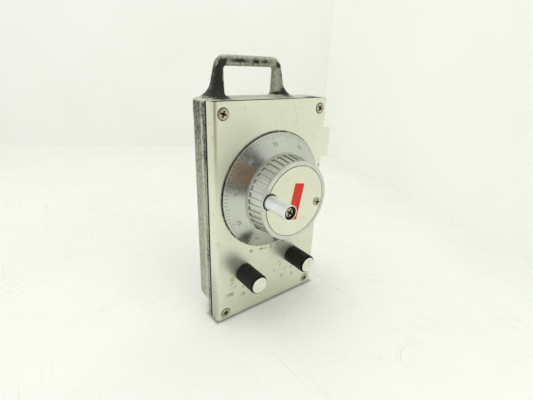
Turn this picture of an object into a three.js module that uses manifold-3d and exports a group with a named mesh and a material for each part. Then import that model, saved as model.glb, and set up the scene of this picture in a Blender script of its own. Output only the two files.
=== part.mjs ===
// Manual pulse generator pendant: a thin cast case with a carrying handle, a folded front cover,
// a graduated handwheel with a spinner crank, and two selector knobs.
// Millimetres, +Z up, +X to the right, -Y towards the user. The origin is the middle of the base
// that the case stands on. Inside the file, depth (y) is counted back from the cover's front face.
import * as THREE from "three";
import { mergeVertices } from "three/addons/utils/BufferGeometryUtils.js";
import Module from "manifold-3d";

const wasm = await Module();
wasm.setup();

// ---- Driving dimensions ----
const width = 118.8;
const height = 200;
const coverSheet = 2; // thickness of the folded cover
const coverBend = 3.5; // outer radius of the fold along each long side
const coverDepth = 9.7; // how far the cover's sides reach back
const gasketBack = 3; // the gasket lies between the cover sheet and this depth
const topStep = { depth: 7.5, drop: 1.6 }; // a shallow step along the top edge, behind the cover
const bandFront = 11.9; // the case's flange, level with the cover's sides
const bandBack = 17.8;
const caseBack = 33;
const baseRise = 15.3; // the deep part of the case stops this far above the base
const wall = 3;
const coverScrew = { x: 50.35, low: 7.85, high: 190.9, radius: 2.5, head: 4.7 };

const dial = { z: 120.9, radius: 52.7, seat: 37.6, edge: 2, top: 11.3 };
const drum = { base: 36.8, rim: 34.5, front: 30.8, flutes: 40, fluteDepth: 0.9 };
const wheelAngle = THREE.MathUtils.degToRad(11.5); // how far the handwheel is turned at rest
const faceDisc = { radius: 30.6, thickness: 1.5 };
const crank = { reach: 28, radius: 6, length: 24.5 };
const shaftRadius = 4;

const selector = { middle: -1.25, apart: 58.3, z: 46, radius: 8.9, back: 0.6, front: 23.8, ribs: 24 };
const selectorX = (side) => selector.middle + (side * selector.apart) / 2;
const selectorCap = { rim: 8.35, spigot: 6.7, rise: 1.6, depth: 1.1, chamfer: 0.6 };
const handle = { x: -11.8, half: 30.2, low: 35.8, top: 232, front: 19.5, back: 29 };
const lug = { reach: 66.4, low: 144.4, high: 172.6 };
const fit = 0.1; // running clearance on a radius

// ---- Shapes ----
const piece = {
  cast: { color: 0x4c4c47, roughness: 0.7, metalness: 0.3 },
  aluminium: { color: 0xcfd0c4, roughness: 0.35, metalness: 0.9 },
  satin: { color: 0xb9bec2, roughness: 0.3, metalness: 1.0 },
  steel: { color: 0xb8b6ae, roughness: 0.35, metalness: 1.0 },
  zinc: { color: 0xa89a63, roughness: 0.4, metalness: 0.9 },
  brass: { color: 0xb5964f, roughness: 0.35, metalness: 1.0 },
  black: { color: 0x232321, roughness: 0.55, metalness: 0.0 },
  rubber: { color: 0x1b1b1a, roughness: 0.9, metalness: 0.0 },
  board: { color: 0x2f5b3a, roughness: 0.6, metalness: 0.0 },
  glass: { color: 0xc4d6d2, roughness: 0.1, metalness: 0.0 },
  red: { color: 0xc8323a, roughness: 0.5, metalness: 0.0 },
};

// A closed geometry as a solid, turned right side out if its profile ran the other way.
function solid(geometry) {
  const bare = new THREE.BufferGeometry();
  bare.setAttribute("position", geometry.getAttribute("position"));
  bare.setIndex(geometry.index);
  const merged = mergeVertices(bare, 1e-4);
  const corners = merged.index.array;
  const faces = [];
  for (let i = 0; i < corners.length; i += 3) {
    const [a, b, c] = corners.slice(i, i + 3);
    if (a !== b && b !== c && a !== c) faces.push(a, b, c);
  }
  const vertProperties = merged.attributes.position.array;
  const build = (list) =>
    new wasm.Manifold(new wasm.Mesh({ numProp: 3, vertProperties, triVerts: new Uint32Array(list) }));
  const made = build(faces);
  return made.volume() < 0 ? build(faces.reverse()) : made;
}

// A solid's surface as a geometry that a mesh can hold.
function surface(body) {
  const mesh = body.getMesh();
  const geometry = new THREE.BufferGeometry();
  geometry.setAttribute("position", new THREE.BufferAttribute(mesh.vertProperties, 3));
  geometry.setIndex(new THREE.BufferAttribute(mesh.triVerts, 1));
  geometry.computeVertexNormals();
  return geometry;
}

const join = (...bodies) => bodies.reduce((all, body) => all.add(body));
const cut = (body, ...tools) => tools.reduce((left, tool) => left.subtract(tool), body);

// A box between two corners.
function block([x0, y0, z0], [x1, y1, z1]) {
  const box = new THREE.BoxGeometry(x1 - x0, y1 - y0, z1 - z0);
  return solid(box.translate((x0 + x1) / 2, (y0 + y1) / 2, (z0 + z1) / 2));
}

// A profile of [radius, depth] points turned about the depth axis, then moved to x, z.
function turned(profile, segments, x = 0, z = 0) {
  const points = [...profile, profile[0]].map(([r, y]) => new THREE.Vector2(r, y));
  return solid(new THREE.LatheGeometry(points, segments).translate(x, 0, z));
}

// A plain rod along the depth axis.
const rod = (radius, y0, y1, segments, x = 0, z = 0) =>
  turned([[0, y0], [radius, y0], [radius, y1], [0, y1]], segments, x, z);

// A profile of [radius, height] points turned about an upright axis at x, y.
function upright(profile, segments, x, y) {
  const points = [...profile, profile[0]].map(([r, z]) => new THREE.Vector2(r, z));
  const geometry = new THREE.LatheGeometry(points, segments).rotateX(Math.PI / 2);
  return solid(geometry.translate(x, y, 0));
}

// An outline in x, z with its depth from y0 to y1, and rounded edges when edge is given.
function slab(shape, y0, y1, { edge = 0, steps = 2, curve = 6 } = {}) {
  const geometry = new THREE.ExtrudeGeometry(shape, {
    depth: y1 - y0 - 2 * edge,
    bevelEnabled: edge > 0,
    bevelThickness: edge,
    bevelSize: edge,
    bevelOffset: -edge,
    bevelSegments: steps,
    curveSegments: curve,
  });
  return solid(geometry.rotateX(Math.PI / 2).translate(0, y1 - edge, 0));
}

function rectangle(x0, z0, x1, z1) {
  const points = [[x0, z0], [x1, z0], [x1, z1], [x0, z1]];
  return new THREE.Shape(points.map(([x, z]) => new THREE.Vector2(x, z)));
}

function polygon(sides, radius, turn = 0) {
  const corner = (_, i) => {
    const angle = turn + (i * 2 * Math.PI) / sides;
    return new THREE.Vector2(radius * Math.cos(angle), radius * Math.sin(angle));
  };
  return new THREE.Shape(Array.from({ length: sides }, corner));
}

// A round outline whose edge goes in and out, with one tooth and one gap in each pitch.
function toothed(teeth, outer, inner, share = 0.5) {
  const pitch = (2 * Math.PI) / teeth;
  const points = [];
  for (let i = 0; i < teeth; i += 1) {
    const ends = [[0, outer], [share, outer], [share + 0.06, inner], [0.94, inner]];
    for (const [part, radius] of ends) {
      const angle = (i + part) * pitch;
      points.push(new THREE.Vector2(radius * Math.cos(angle), radius * Math.sin(angle)));
    }
  }
  return new THREE.Shape(points);
}

// Two crossed slots, cut into a screw head whose top is at depth y.
function crossSlot(span, slotWidth, y, depth, x, z) {
  const arm = (dx, dz) => block([x - dx, y - 1, z - dz], [x + dx, y + depth, z + dz]);
  return join(arm(span / 2, slotWidth / 2), arm(slotWidth / 2, span / 2));
}

// ---- Scene ----
const pendant = new THREE.Group();
const frame = new THREE.Group();
frame.position.y = -bandBack / 2; // the base runs from the cover's face to the flange's back
pendant.add(frame);

function add(name, body, look, group = frame) {
  const mesh = new THREE.Mesh(surface(body), new THREE.MeshStandardMaterial(piece[look]));
  mesh.name = name;
  group.add(mesh);
  return mesh;
}

const coverScrewPlaces = [-1, 1].flatMap((side) =>
  [coverScrew.low, coverScrew.high].map((z) => [side * coverScrew.x, z]),
);

// ---- Case ----
const inside = { x: 54.1, low: 3.2, high: height - 3.2 };
const corner = { x: 45.3, low: 12.9, high: 185.9 }; // inner edges of the corner bosses

// The case's mouth: a rectangle whose corners are filled by the bosses for the cover screws.
function mouthOutline() {
  const quarter = [
    [inside.x, corner.low],
    [inside.x, corner.high],
    [corner.x, corner.high],
    [corner.x, inside.high],
  ];
  const left = [...quarter].reverse().map(([x, z]) => [-x, z]);
  const foot = [
    [-corner.x, corner.low],
    [-corner.x, inside.low],
    [corner.x, inside.low],
    [corner.x, corner.low],
  ];
  return new THREE.Path([...quarter, ...left, ...foot].map(([x, z]) => new THREE.Vector2(x, z)));
}

// The handle's outline, narrower at the top, with a window that widens slightly upwards.
function handleOutline() {
  const { x, half, low, top } = handle;
  const shape = new THREE.Shape();
  const bend = 7;
  const root = height - wall / 2;
  shape.moveTo(x - low, root);
  shape.lineTo(x - low, height + 5);
  shape.lineTo(x - half, top - bend);
  shape.quadraticCurveTo(x - half + 1, top, x - half + bend, top);
  shape.lineTo(x + half - bend, top);
  shape.quadraticCurveTo(x + half - 1, top, x + half, top - bend);
  shape.lineTo(x + low, height + 5);
  shape.lineTo(x + low, root);
  return shape;
}

function handleWindow() {
  const { x } = handle;
  const low = { half: 24.7, z: height + 1.4 };
  const high = { half: 25.4, z: 223.9 };
  const bend = 2.2;
  const shape = new THREE.Shape();
  shape.moveTo(x - low.half + bend, low.z);
  shape.lineTo(x + low.half - bend, low.z);
  shape.quadraticCurveTo(x + low.half, low.z, x + low.half, low.z + bend);
  shape.lineTo(x + high.half, high.z - bend);
  shape.quadraticCurveTo(x + high.half, high.z, x + high.half - bend, high.z);
  shape.lineTo(x - high.half + bend, high.z);
  shape.quadraticCurveTo(x - high.half, high.z, x - high.half, high.z - bend);
  shape.lineTo(x - low.half, low.z + bend);
  shape.quadraticCurveTo(x - low.half, low.z, x - low.half + bend, low.z);
  return shape;
}

// The handle, on a low web with a wider pad under each leg.
function handleSolid() {
  const middle = (handle.front + handle.back) / 2;
  const bar = slab(handleOutline(), handle.front, handle.back, { edge: 2.4, curve: 5 });
  const reach = handle.low - 6;
  const pads = [-1, 1].map((side) => {
    const [x0, x1] = [handle.x + side * reach - 8.5, handle.x + side * reach + 8.5];
    const outline = rectangle(x0, height - 2.5, x1, height + 2.8);
    return slab(outline, middle - 6.9, middle + 6.9, { edge: 2.2 });
  });
  const web = block([handle.x - 28, middle - 3.4, height - 1], [handle.x + 28, middle + 3.4, height + 1]);
  return join(cut(bar, slab(handleWindow(), 0, caseBack + 5)), web, ...pads);
}

const gland = { x: 0, y: bandBack + 5.4, hole: 4.3, bore: 3.1 };
const foot = { x: 52, low: 27, high: 191.5, radius: 4.8, proud: 3, stem: 1.9 };
const footPlaces = [-1, 1].flatMap((side) => [foot.low, foot.high].map((z) => [side * foot.x, z]));

function rearHousing() {
  const half = width / 2;
  const register = half - coverSheet - 0.3;
  const outer = join(
    block([-register, gasketBack, 0], [register, bandFront + 1, height - topStep.drop]),
    block([-register, topStep.depth, height - wall - topStep.drop], [register, bandFront + 1, height]),
    slab(rectangle(-half, 0, half, height), bandFront, bandBack, { edge: 0.8, steps: 1 }),
    slab(rectangle(-half, baseRise, half, height), bandFront + 1, caseBack, { edge: 2.2 }),
    handleSolid(),
  );
  const mouth = slab(new THREE.Shape(mouthOutline().getPoints()), 0, bandBack - wall);
  const room = block(
    [-inside.x, bandBack - wall - 1, baseRise + wall],
    [inside.x, caseBack - wall, inside.high],
  );
  const screwHoles = coverScrewPlaces.map(([x, z]) => rod(coverScrew.radius + fit, 0, 13.5, 14, x, z));
  const footHoles = footPlaces.map(([x, z]) => rod(foot.stem + fit, 25, caseBack + 1, 12, x, z));
  const glandHole = upright(
    [[0, baseRise - 1], [gland.hole + fit, baseRise - 1], [gland.hole + fit, 20], [0, 20]],
    20,
    gland.x,
    gland.y,
  );
  return cut(outer, mouth, room, ...screwHoles, ...footHoles, glandHole);
}

// ---- Front cover ----
// The folded section seen from above: a front sheet, a bend at each side and two short flanges.
function coverSection() {
  const half = width / 2;
  const inner = half - coverSheet;
  const bendInner = coverBend - coverSheet;
  const shape = new THREE.Shape();
  shape.moveTo(-half, coverDepth);
  shape.lineTo(-half, coverBend);
  shape.absarc(-half + coverBend, coverBend, coverBend, Math.PI, 1.5 * Math.PI, false);
  shape.lineTo(half - coverBend, 0);
  shape.absarc(half - coverBend, coverBend, coverBend, 1.5 * Math.PI, 2 * Math.PI, false);
  shape.lineTo(half, coverDepth);
  shape.lineTo(inner, coverDepth);
  shape.lineTo(inner, coverSheet + bendInner);
  shape.absarc(inner - bendInner, coverBend, bendInner, 0, -0.5 * Math.PI, true);
  shape.lineTo(-inner + bendInner, coverSheet);
  shape.absarc(-inner + bendInner, coverBend, bendInner, -0.5 * Math.PI, -Math.PI, true);
  shape.lineTo(-inner, coverDepth);
  return shape;
}

const panelHole = { shaft: 9, bush: 4.6 };
const encoderScrew = { reach: 26, radius: 1.5, head: 2.9 };
const encoderScrewPlaces = [90, 210, 330].map((degrees) => {
  const angle = THREE.MathUtils.degToRad(degrees);
  return [encoderScrew.reach * Math.cos(angle), dial.z + encoderScrew.reach * Math.sin(angle)];
});

// The room that a countersunk screw needs in a sheet whose front is at depth 0.
function countersink(head, radius, x, z) {
  const sunk = 0.25;
  const profile = [
    [0, -1],
    [head + fit, -1],
    [head + fit, sunk],
    [radius + fit, sunk + head - radius],
    [radius + fit, 4],
    [0, 4],
  ];
  return turned(profile, 14, x, z);
}

function frontCover() {
  const end = 0.2; // the cover stops this far short of the case's ends
  const folded = new THREE.ExtrudeGeometry(coverSection(), {
    depth: height - 2 * end,
    bevelEnabled: false,
    curveSegments: 5,
  });
  const sheet = solid(folded.translate(0, 0, end));
  const relief = block([width / 2 - coverBend, -1, lug.low - 1.2], [width, coverDepth + 1, lug.high + 1.2]);
  const ear = block([width / 2 - coverBend - 1, 0, lug.low], [lug.reach, coverSheet, lug.high]);
  const holes = [
    ...coverScrewPlaces.map(([x, z]) => countersink(coverScrew.head, coverScrew.radius, x, z)),
    ...encoderScrewPlaces.map(([x, z]) => countersink(encoderScrew.head, encoderScrew.radius, x, z)),
    rod(panelHole.shaft, -1, 4, 28, 0, dial.z),
    ...[-1, 1].map((side) => rod(panelHole.bush, -1, 4, 18, selectorX(side), selector.z)),
  ];
  return cut(join(cut(sheet, relief), ear), ...holes);
}

function coverGasket() {
  const edge = width / 2 - coverBend - 0.4;
  const ring = rectangle(-edge, 0.5, edge, height - 0.5);
  ring.holes.push(mouthOutline());
  const screwHoles = coverScrewPlaces.map(([x, z]) => rod(coverScrew.radius + 0.8, 0, 5, 12, x, z));
  return cut(slab(ring, coverSheet, gasketBack), ...screwHoles);
}

// A countersunk screw with a slightly domed head, its shank pointing into the case.
function countersunkScrew(head, radius, length, x, z) {
  const profile = [
    [0, -0.45],
    [head * 0.55, -0.3],
    [head, 0.15],
    [head, 0.25],
    [radius, 0.25 + head - radius],
    [radius, length],
    [0, length],
  ];
  return cut(turned(profile, 14, x, z), crossSlot(head * 1.15, head * 0.24, -0.45, head * 0.32, x, z));
}

add("rear_housing", rearHousing(), "cast");
add("front_cover", frontCover(), "aluminium");
add("cover_gasket", coverGasket(), "rubber");
for (const [side, word] of [[-1, "left"], [1, "right"]]) {
  const outer = side * (width / 2 - 0.9);
  const inner = side * (width / 2 - coverSheet);
  const low = [Math.min(outer, inner), coverDepth + 0.1, 0.6];
  const high = [Math.max(outer, inner), bandFront - 0.1, height - 1];
  add(`side_seal_${word}`, block(low, high), "rubber");
}
coverScrewPlaces.forEach(([x, z], i) => {
  const screw = countersunkScrew(coverScrew.head, coverScrew.radius, 12, x, z);
  add(`cover_screw_${i + 1}`, screw, "zinc");
});
footPlaces.forEach(([x, z], i) => {
  const { radius, proud, stem } = foot;
  const profile = [
    [0, caseBack - wall - 0.5],
    [stem, caseBack - wall - 0.5],
    [stem, caseBack],
    [radius, caseBack],
    [radius, caseBack + proud - 0.8],
    [radius - 0.8, caseBack + proud],
    [0, caseBack + proud],
  ];
  add(`foot_${i + 1}`, turned(profile, 12, x, z), "rubber");
});

// ---- Cable gland, under the deep part of the case ----
function glandPieces() {
  const { x, y, hole, bore } = gland;
  const flange = baseRise - 3;
  const hexagon = (radius, z0, z1) => {
    const depth = z1 - z0;
    const prism = new THREE.ExtrudeGeometry(polygon(6, radius), { depth, bevelEnabled: false });
    return solid(prism.translate(x, y, z0));
  };
  const tube = (r0, r1, z0, z1) => upright([[r0, z0], [r1, z0], [r1, z1], [r0, z1]], 18, x, y);
  const drill = (radius) => upright([[0, -1], [radius, -1], [radius, 40], [0, 40]], 18, x, y);
  const body = join(hexagon(6, flange, baseRise), tube(bore, hole, flange - 1.5, 24));
  add("gland_body", cut(body, drill(bore)), "black");
  const nut = [
    [bore + 0.2, 2.6],
    [4.2, 2.6],
    [5, 4],
    [5.3, flange - 0.2],
    [hole + 0.2, flange - 0.2],
    [hole + 0.2, 6.4],
    [bore + 0.2, 4.4],
  ];
  add("gland_nut", upright(nut, 24, x, y), "black");
  add("gland_seal", tube(bore, hole - 0.1, 6.6, flange - 1.7), "rubber");
  const locknut = cut(hexagon(6, baseRise + wall, baseRise + wall + 2.4), drill(hole + 0.15));
  add("gland_locknut", locknut, "brass");
}
glandPieces();

// ---- Pulse encoder, fixed behind the cover ----
const encoder = { flange: 30, body: 22.5, bore: 20.5, back: 25 };
const coverBack = coverSheet;

function encoderPieces() {
  const group = new THREE.Group();
  group.position.z = dial.z;
  frame.add(group);
  const put = (name, body, look) => add(name, body, look, group);
  const { flange, body, bore, back } = encoder;
  const caseProfile = [
    [shaftRadius + 0.6, coverBack],
    [flange, coverBack],
    [flange, coverBack + 3],
    [body, coverBack + 3],
    [body, back - 2],
    [bore, back - 2],
    [bore, 9],
    [8.1, 9],
    [8.1, coverBack + 1],
    [shaftRadius + 0.6, coverBack + 1],
  ];
  const shell = turned(caseProfile, 32);
  const threads = encoderScrewPlaces.map(([x, z]) => {
    return rod(encoderScrew.radius + fit, 0, 8, 10, x, z - dial.z);
  });
  put("encoder_case", cut(shell, ...threads), "aluminium");
  const ring = (inner, outer, y0, y1, sides) => {
    const section = [[inner, y0], [outer, y0], [outer, y1], [inner, y1]];
    return turned(section, sides);
  };
  put("front_bearing", ring(shaftRadius + 0.05, 8, coverBack + 1.1, 8.6, 24), "steel");
  const teeth = slab(toothed(20, 15.2, 14.2), 9, 13);
  put("detent_ring", cut(ring(12, bore - fit, 9.2, 12.6, 32), teeth), "steel");
  put("encoder_board", ring(6.4, bore - fit, 18.6, 20.2, 32), "board");
  const reader = cut(block([13, 14, -5], [19, 18.5, 5]), block([12, 15.4, -6], [17, 16.9, 6]));
  put("reader_block", reader, "black");
  const cap = [
    [shaftRadius + 0.4, back],
    [body, back],
    [body, back - 1.9],
    [bore - fit, back - 1.9],
    [bore - fit, back - 4],
    [9.5, back - 4],
    [9.5, back - 1.6],
    [shaftRadius + 0.4, back - 1.6],
  ];
  put("encoder_cap", turned(cap, 32), "aluminium");
  put("rear_bearing", ring(shaftRadius + 0.05, 7.5, back - 4.6, back - 1.7, 24), "steel");
}
encoderPieces();
encoderScrewPlaces.forEach(([x, z], i) => {
  const screw = countersunkScrew(encoderScrew.head, encoderScrew.radius, 4.8, x, z);
  add(`encoder_screw_${i + 1}`, screw, "steel");
});

// A terminal strip on the case's back wall, where the cable's wires end.
function terminalBlock() {
  const poles = 6;
  const pitch = 7;
  const back = caseBack - wall;
  const half = (poles * pitch) / 2;
  const strip = block([-half, back - 9, 26], [half, back, 40]);
  const wells = Array.from({ length: poles }, (_, i) =>
    rod(2.4, back - 10, back - 4, 10, (i + 0.5) * pitch - half, 33),
  );
  return cut(strip, ...wells);
}
add("terminal_block", terminalBlock(), "black");

// ---- Handwheel ----
const wheel = new THREE.Group();
wheel.position.z = dial.z;
frame.add(wheel);
const onWheel = (reach, turn) => [reach * Math.cos(turn), reach * Math.sin(turn)];
const crankPlace = onWheel(crank.reach, Math.PI - wheelAngle);
const discScrewPlace = onWheel(25.1, -wheelAngle);
const discBack = -drum.front + faceDisc.thickness;

function graduatedDial() {
  const { radius, seat, edge, top } = dial;
  const skin = 2.2;
  const profile = [
    [27, -top],
    [seat, -top],
    [radius, -edge],
    [radius, -edge + 1],
    [radius - 1.6, -edge + 1],
    [seat - 0.6, -top + skin],
    [27, -top + skin],
  ];
  return turned(profile, 60);
}

// The grip: a plain band at the dial, flutes along the middle and a plain rim that holds the disc.
function fluteTools() {
  const { base, rim, front, flutes, fluteDepth } = drum;
  const start = dial.top + 3;
  const stop = front - 3.6;
  const tools = [];
  for (let i = 0; i < flutes; i += 1) {
    const tilt = Math.atan2(base - rim, stop - start);
    const tool = block([-1.55, -(stop - start) / 2, -2], [1.55, (stop - start) / 2, 2]);
    const middle = (base + rim) / 2 + 2 - fluteDepth;
    const leaned = tool.rotate([(tilt * 180) / Math.PI, 0, 0]);
    const moved = leaned.translate([0, -(start + stop) / 2, middle]);
    tools.push(moved.rotate([0, (i * 360) / flutes, 0]));
  }
  return tools;
}

const setScrewTurn = -130; // degrees about the shaft, from straight up
const setScrewDepth = -15;

function drumSolid() {
  const { base, rim, front } = drum;
  const hub = { radius: 10, back: -3.4 };
  const spigot = 26.8;
  const outer = [
    [0, -dial.top + 2],
    [spigot, -dial.top + 2],
    [spigot, -dial.top],
    [base, -dial.top],
    [base, -dial.top - 3],
    [rim, -front + 3],
    [rim, -front + 0.5],
    [rim - 0.5, -front],
    [0, -front],
  ];
  const setScrewHole = rod(1.65, 0, 8, 12).rotate([90, 0, 0]).translate([0, setScrewDepth, 30]);
  return cut(
    join(turned(outer, 60), rod(hub.radius, -dial.top - 1, hub.back, 24)),
    rod(faceDisc.radius + 0.3, -front - 1, discBack, 60),
    rod(shaftRadius + 0.02, -front - 1, 0, 24),
    rod(2 + fit, discBack - 1, discBack + 12, 14, ...crankPlace),
    rod(2 + fit, discBack - 1, discBack + 9, 14, ...discScrewPlace),
    setScrewHole.rotate([0, setScrewTurn, 0]),
    ...fluteTools(),
  );
}

function discScrew() {
  const [x, z] = discScrewPlace;
  const top = -drum.front;
  const profile = [
    [0, top - 1.5],
    [2.4, top - 1.4],
    [4, top - 0.5],
    [4, top],
    [2, top],
    [2, top + 8],
    [0, top + 8],
  ];
  return cut(turned(profile, 18, x, z), crossSlot(4.4, 1, top - 1.5, 1.2, x, z));
}

// The stud that the spinner turns on, screwed into the drum, with a wide cross-slot head.
function crankStud() {
  const [x, z] = crankPlace;
  const face = -drum.front;
  const end = face - crank.length;
  const profile = [
    [0, end + 1],
    [3.3, end + 1],
    [3.3, end + 3],
    [2.2, end + 3],
    [2.2, face - 0.3],
    [3.4, face - 0.3],
    [3.4, face],
    [2, face],
    [2, face + 11],
    [0, face + 11],
  ];
  return cut(turned(profile, 18, x, z), crossSlot(3.8, 0.9, end + 1, 1.1, x, z));
}

function faceDiscSolid() {
  const plain = rod(faceDisc.radius, -drum.front, discBack, 60);
  const holes = [discScrewPlace, crankPlace].map(([x, z]) => rod(2 + fit, -40, 0, 14, x, z));
  return cut(plain, ...holes);
}

add("graduated_dial", graduatedDial(), "satin", wheel);
add("handwheel_drum", drumSolid(), "satin", wheel);
add("face_disc", faceDiscSolid(), "aluminium", wheel);
add("disc_screw", discScrew(), "zinc", wheel);
add("crank_stud", crankStud(), "zinc", wheel);
const label = slab(rectangle(-5, -16, 5, 16), -drum.front - 0.35, -drum.front - 0.05);
add("disc_label", label, "red", wheel).rotation.y = wheelAngle;
const setScrew = rod(1.5, 0, 5, 12).rotate([90, 0, 0]).translate([0, setScrewDepth, 30.3]);
add("dial_set_screw", setScrew.rotate([0, setScrewTurn, 0]), "black", wheel);
add("main_shaft", rod(shaftRadius, discBack + 1, 24.4, 24), "steel", wheel);
const detentWheel = slab(toothed(20, 13.6, 12.6), 9.4, 12.4);
add("detent_wheel", cut(detentWheel, rod(shaftRadius, 0, 20, 24)), "steel", wheel);
const codeDisc = turned([[7, 15.7], [15.6, 15.7], [15.6, 16.6], [7, 16.6]], 24);
add("code_disc", codeDisc, "glass", wheel);
const hub = [[shaftRadius, 13], [7, 13], [7, 18], [shaftRadius, 18]];
const discGroove = turned([[6.9, 15.6], [9, 15.6], [9, 16.7], [6.9, 16.7]], 24);
add("code_disc_hub", cut(turned(hub, 24), discGroove), "brass", wheel);

// ---- Spinner, free to turn on the stud ----
function spinnerPieces() {
  const [x, z] = crankPlace;
  const face = -drum.front - 0.4;
  const end = -drum.front - crank.length;
  const { radius } = crank;
  const sleeve = [
    [4.6, face],
    [radius, face],
    [radius, end + 0.7],
    [radius - 0.7, end],
    [4.6, end],
  ];
  add("spinner_sleeve", turned(sleeve, 32, x, z), "aluminium", wheel);
  const bush = [
    [2.3, face - 0.4],
    [4.5, face - 0.4],
    [4.5, end + 0.4],
    [3.5, end + 0.4],
    [3.5, end + 3.2],
    [2.3, end + 3.2],
  ];
  add("spinner_bush", turned(bush, 20, x, z), "black", wheel);
}
spinnerPieces();

// ---- Selector switches and their knobs ----
function selectorPieces(side, word) {
  const group = new THREE.Group();
  group.position.set(selectorX(side), 0, selector.z);
  frame.add(group);
  const put = (name, body, look) => add(`${name}_${word}`, body, look, group);
  const { radius, back, front, ribs } = selector;
  const bush = 4.5;
  const shaft = 3;
  const switchBody = [
    [shaft + fit, -2.2],
    [bush, -2.2],
    [bush, coverBack],
    [13, coverBack],
    [13, 16],
    [0, 16],
    [0, 13.5],
    [9.5, 13.5],
    [9.5, 6],
    [shaft + fit, 6],
  ];
  put("switch_body", turned(switchBody, 24), "black");
  const wafer = slab(polygon(18, 14), 16, 17.6);
  const notches = Array.from({ length: 6 }, (_, i) => {
    const notch = block([-0.7, 15, 12.6], [0.7, 18, 15]);
    return notch.rotate([0, i * 60, 0]);
  });
  put("switch_wafer", cut(wafer, ...notches), "board");
  put("panel_nut", cut(slab(polygon(6, 6.6), -2, 0), rod(bush + 0.15, -4, 2, 18)), "steel");
  const rotor = [
    [0, -18.5],
    [shaft, -18.5],
    [shaft, 6.3],
    [9, 6.3],
    [9, 8.6],
    [2.4, 8.6],
    [2.4, 13.2],
    [0, 13.2],
  ];
  put("switch_rotor", turned(rotor, 20), "brass");
  const grip = slab(toothed(ribs, radius, radius - 0.35), -front, -back - 1.4);
  const skirt = rod(radius, -back - 1.4, -back, 28);
  const knob = cut(
    join(grip, skirt),
    rod(7.1, -3.2, 0, 24),
    rod(shaft + 0.03, -19, 0, 20),
    rod(selectorCap.spigot + 0.05, -front - 1, -front + selectorCap.depth + 0.1, 28),
    rod(1.65, 0, radius, 10).rotate([90, 0, 0]).translate([0, -11, 2]),
  );
  put("selector_knob", knob, "black");
  const { rim, spigot, rise, depth, chamfer } = selectorCap;
  const cap = [
    [0, -front - rise],
    [rim - chamfer, -front - rise],
    [rim, -front - rise + chamfer],
    [rim, -front - 0.03],
    [spigot, -front - 0.03],
    [spigot, -front + depth],
    [0, -front + depth],
  ];
  put("knob_cap", turned(cap, 28), "aluminium");
  const grub = rod(1.5, 0, 3.6, 10).rotate([90, 0, 0]).translate([0, -11, shaft + 0.3]);
  put("knob_grub_screw", grub, "steel");
}
selectorPieces(-1, "left");
selectorPieces(1, "right");

export default pendant;
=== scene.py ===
"""Looks for a hand-held manual pulse generator pendant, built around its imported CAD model.

Sizes are millimetres in the row frame (+X right, +Z up, -Y towards the user) until a mesh is
finished, and metres from then on.
"""

import itertools
import math
import random

import bmesh
import bpy
import numpy as np
from mathutils import Matrix, Vector


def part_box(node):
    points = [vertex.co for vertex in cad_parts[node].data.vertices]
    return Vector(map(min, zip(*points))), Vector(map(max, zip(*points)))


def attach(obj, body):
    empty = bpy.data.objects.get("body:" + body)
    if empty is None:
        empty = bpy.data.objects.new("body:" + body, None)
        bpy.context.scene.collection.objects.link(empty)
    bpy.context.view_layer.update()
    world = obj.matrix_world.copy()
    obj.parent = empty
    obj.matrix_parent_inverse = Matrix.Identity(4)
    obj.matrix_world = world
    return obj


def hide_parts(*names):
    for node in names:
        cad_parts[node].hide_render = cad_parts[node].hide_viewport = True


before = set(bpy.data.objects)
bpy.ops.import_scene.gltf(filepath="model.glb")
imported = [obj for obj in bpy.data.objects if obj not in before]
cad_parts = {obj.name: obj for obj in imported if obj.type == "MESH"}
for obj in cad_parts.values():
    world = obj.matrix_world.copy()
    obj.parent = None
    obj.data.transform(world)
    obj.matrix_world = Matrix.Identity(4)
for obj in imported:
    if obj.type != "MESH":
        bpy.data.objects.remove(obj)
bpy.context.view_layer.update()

MM = 0.001


def extent(node):
    """Lowest and highest corner of a CAD node, in millimetres."""
    low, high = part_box(node)
    return low / MM, high / MM


def middle(node):
    low, high = extent(node)
    return (low + high) / 2


# ---- Sizes, from the frame where it has them ----
COVER_LOW, COVER_HIGH = extent("front_cover")
CASE_HIGH = extent("rear_housing")[1]
FACE = COVER_LOW.y  # the cover's front face; depths are counted back from it
HALF_WIDTH = CASE_HIGH.x
HEIGHT = COVER_HIGH.z + 0.2
SHEET = 2.0
BEND = 3.5
COVER_BACK = COVER_HIGH.y
BAND_FRONT = FACE + 12.3
BAND_BACK = FACE + 17.8
BODY_FRONT = FACE + 18.6
CASE_BACK = CASE_HIGH.y
BODY_LOW = 15.3
WALL = 3.0
STEP_FRONT, STEP_DROP = FACE + 7.5, 1.6  # the shallow step along the top, behind the cover
FOOT_GAP = 0.9  # how far the cover's lower edge stays off the table

WHEEL = middle("graduated_dial")
DIAL_RADIUS = extent("graduated_dial")[1].x
DIAL_SEAT = 37.6
DIAL_EDGE = FACE - 2.0
DIAL_TOP = extent("graduated_dial")[0].y
DRUM_FRONT = extent("handwheel_drum")[0].y
DRUM_BASE = 36.8
DRUM_RIM = 34.5
FLUTES = 40
CRANK = middle("spinner_sleeve")
CRANK_END = extent("spinner_sleeve")[0].y
DISC_SCREW = middle("disc_screw")
WHEEL_TURN = math.atan2(CRANK.z - WHEEL.z, WHEEL.x - CRANK.x)
DISC_RADIUS, DISC_THICK = 30.4, 1.5  # the plate let into the grip's front
SET_PIT = 2.1  # radius of the set screw's hole in the grip


def clamp(value):
    return min(max(value, 0), 1)


# ---- Meshes ----


def mesh_of(vertices, faces):
    """A closed mesh in millimetres with its faces pointing out."""
    mesh = bpy.data.meshes.new("part")
    mesh.from_pydata([tuple(v) for v in vertices], [], [tuple(f) for f in faces])
    body = bmesh.new()
    body.from_mesh(mesh)
    bmesh.ops.recalc_face_normals(body, faces=body.faces)
    body.to_mesh(mesh)
    body.free()
    return mesh


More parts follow.
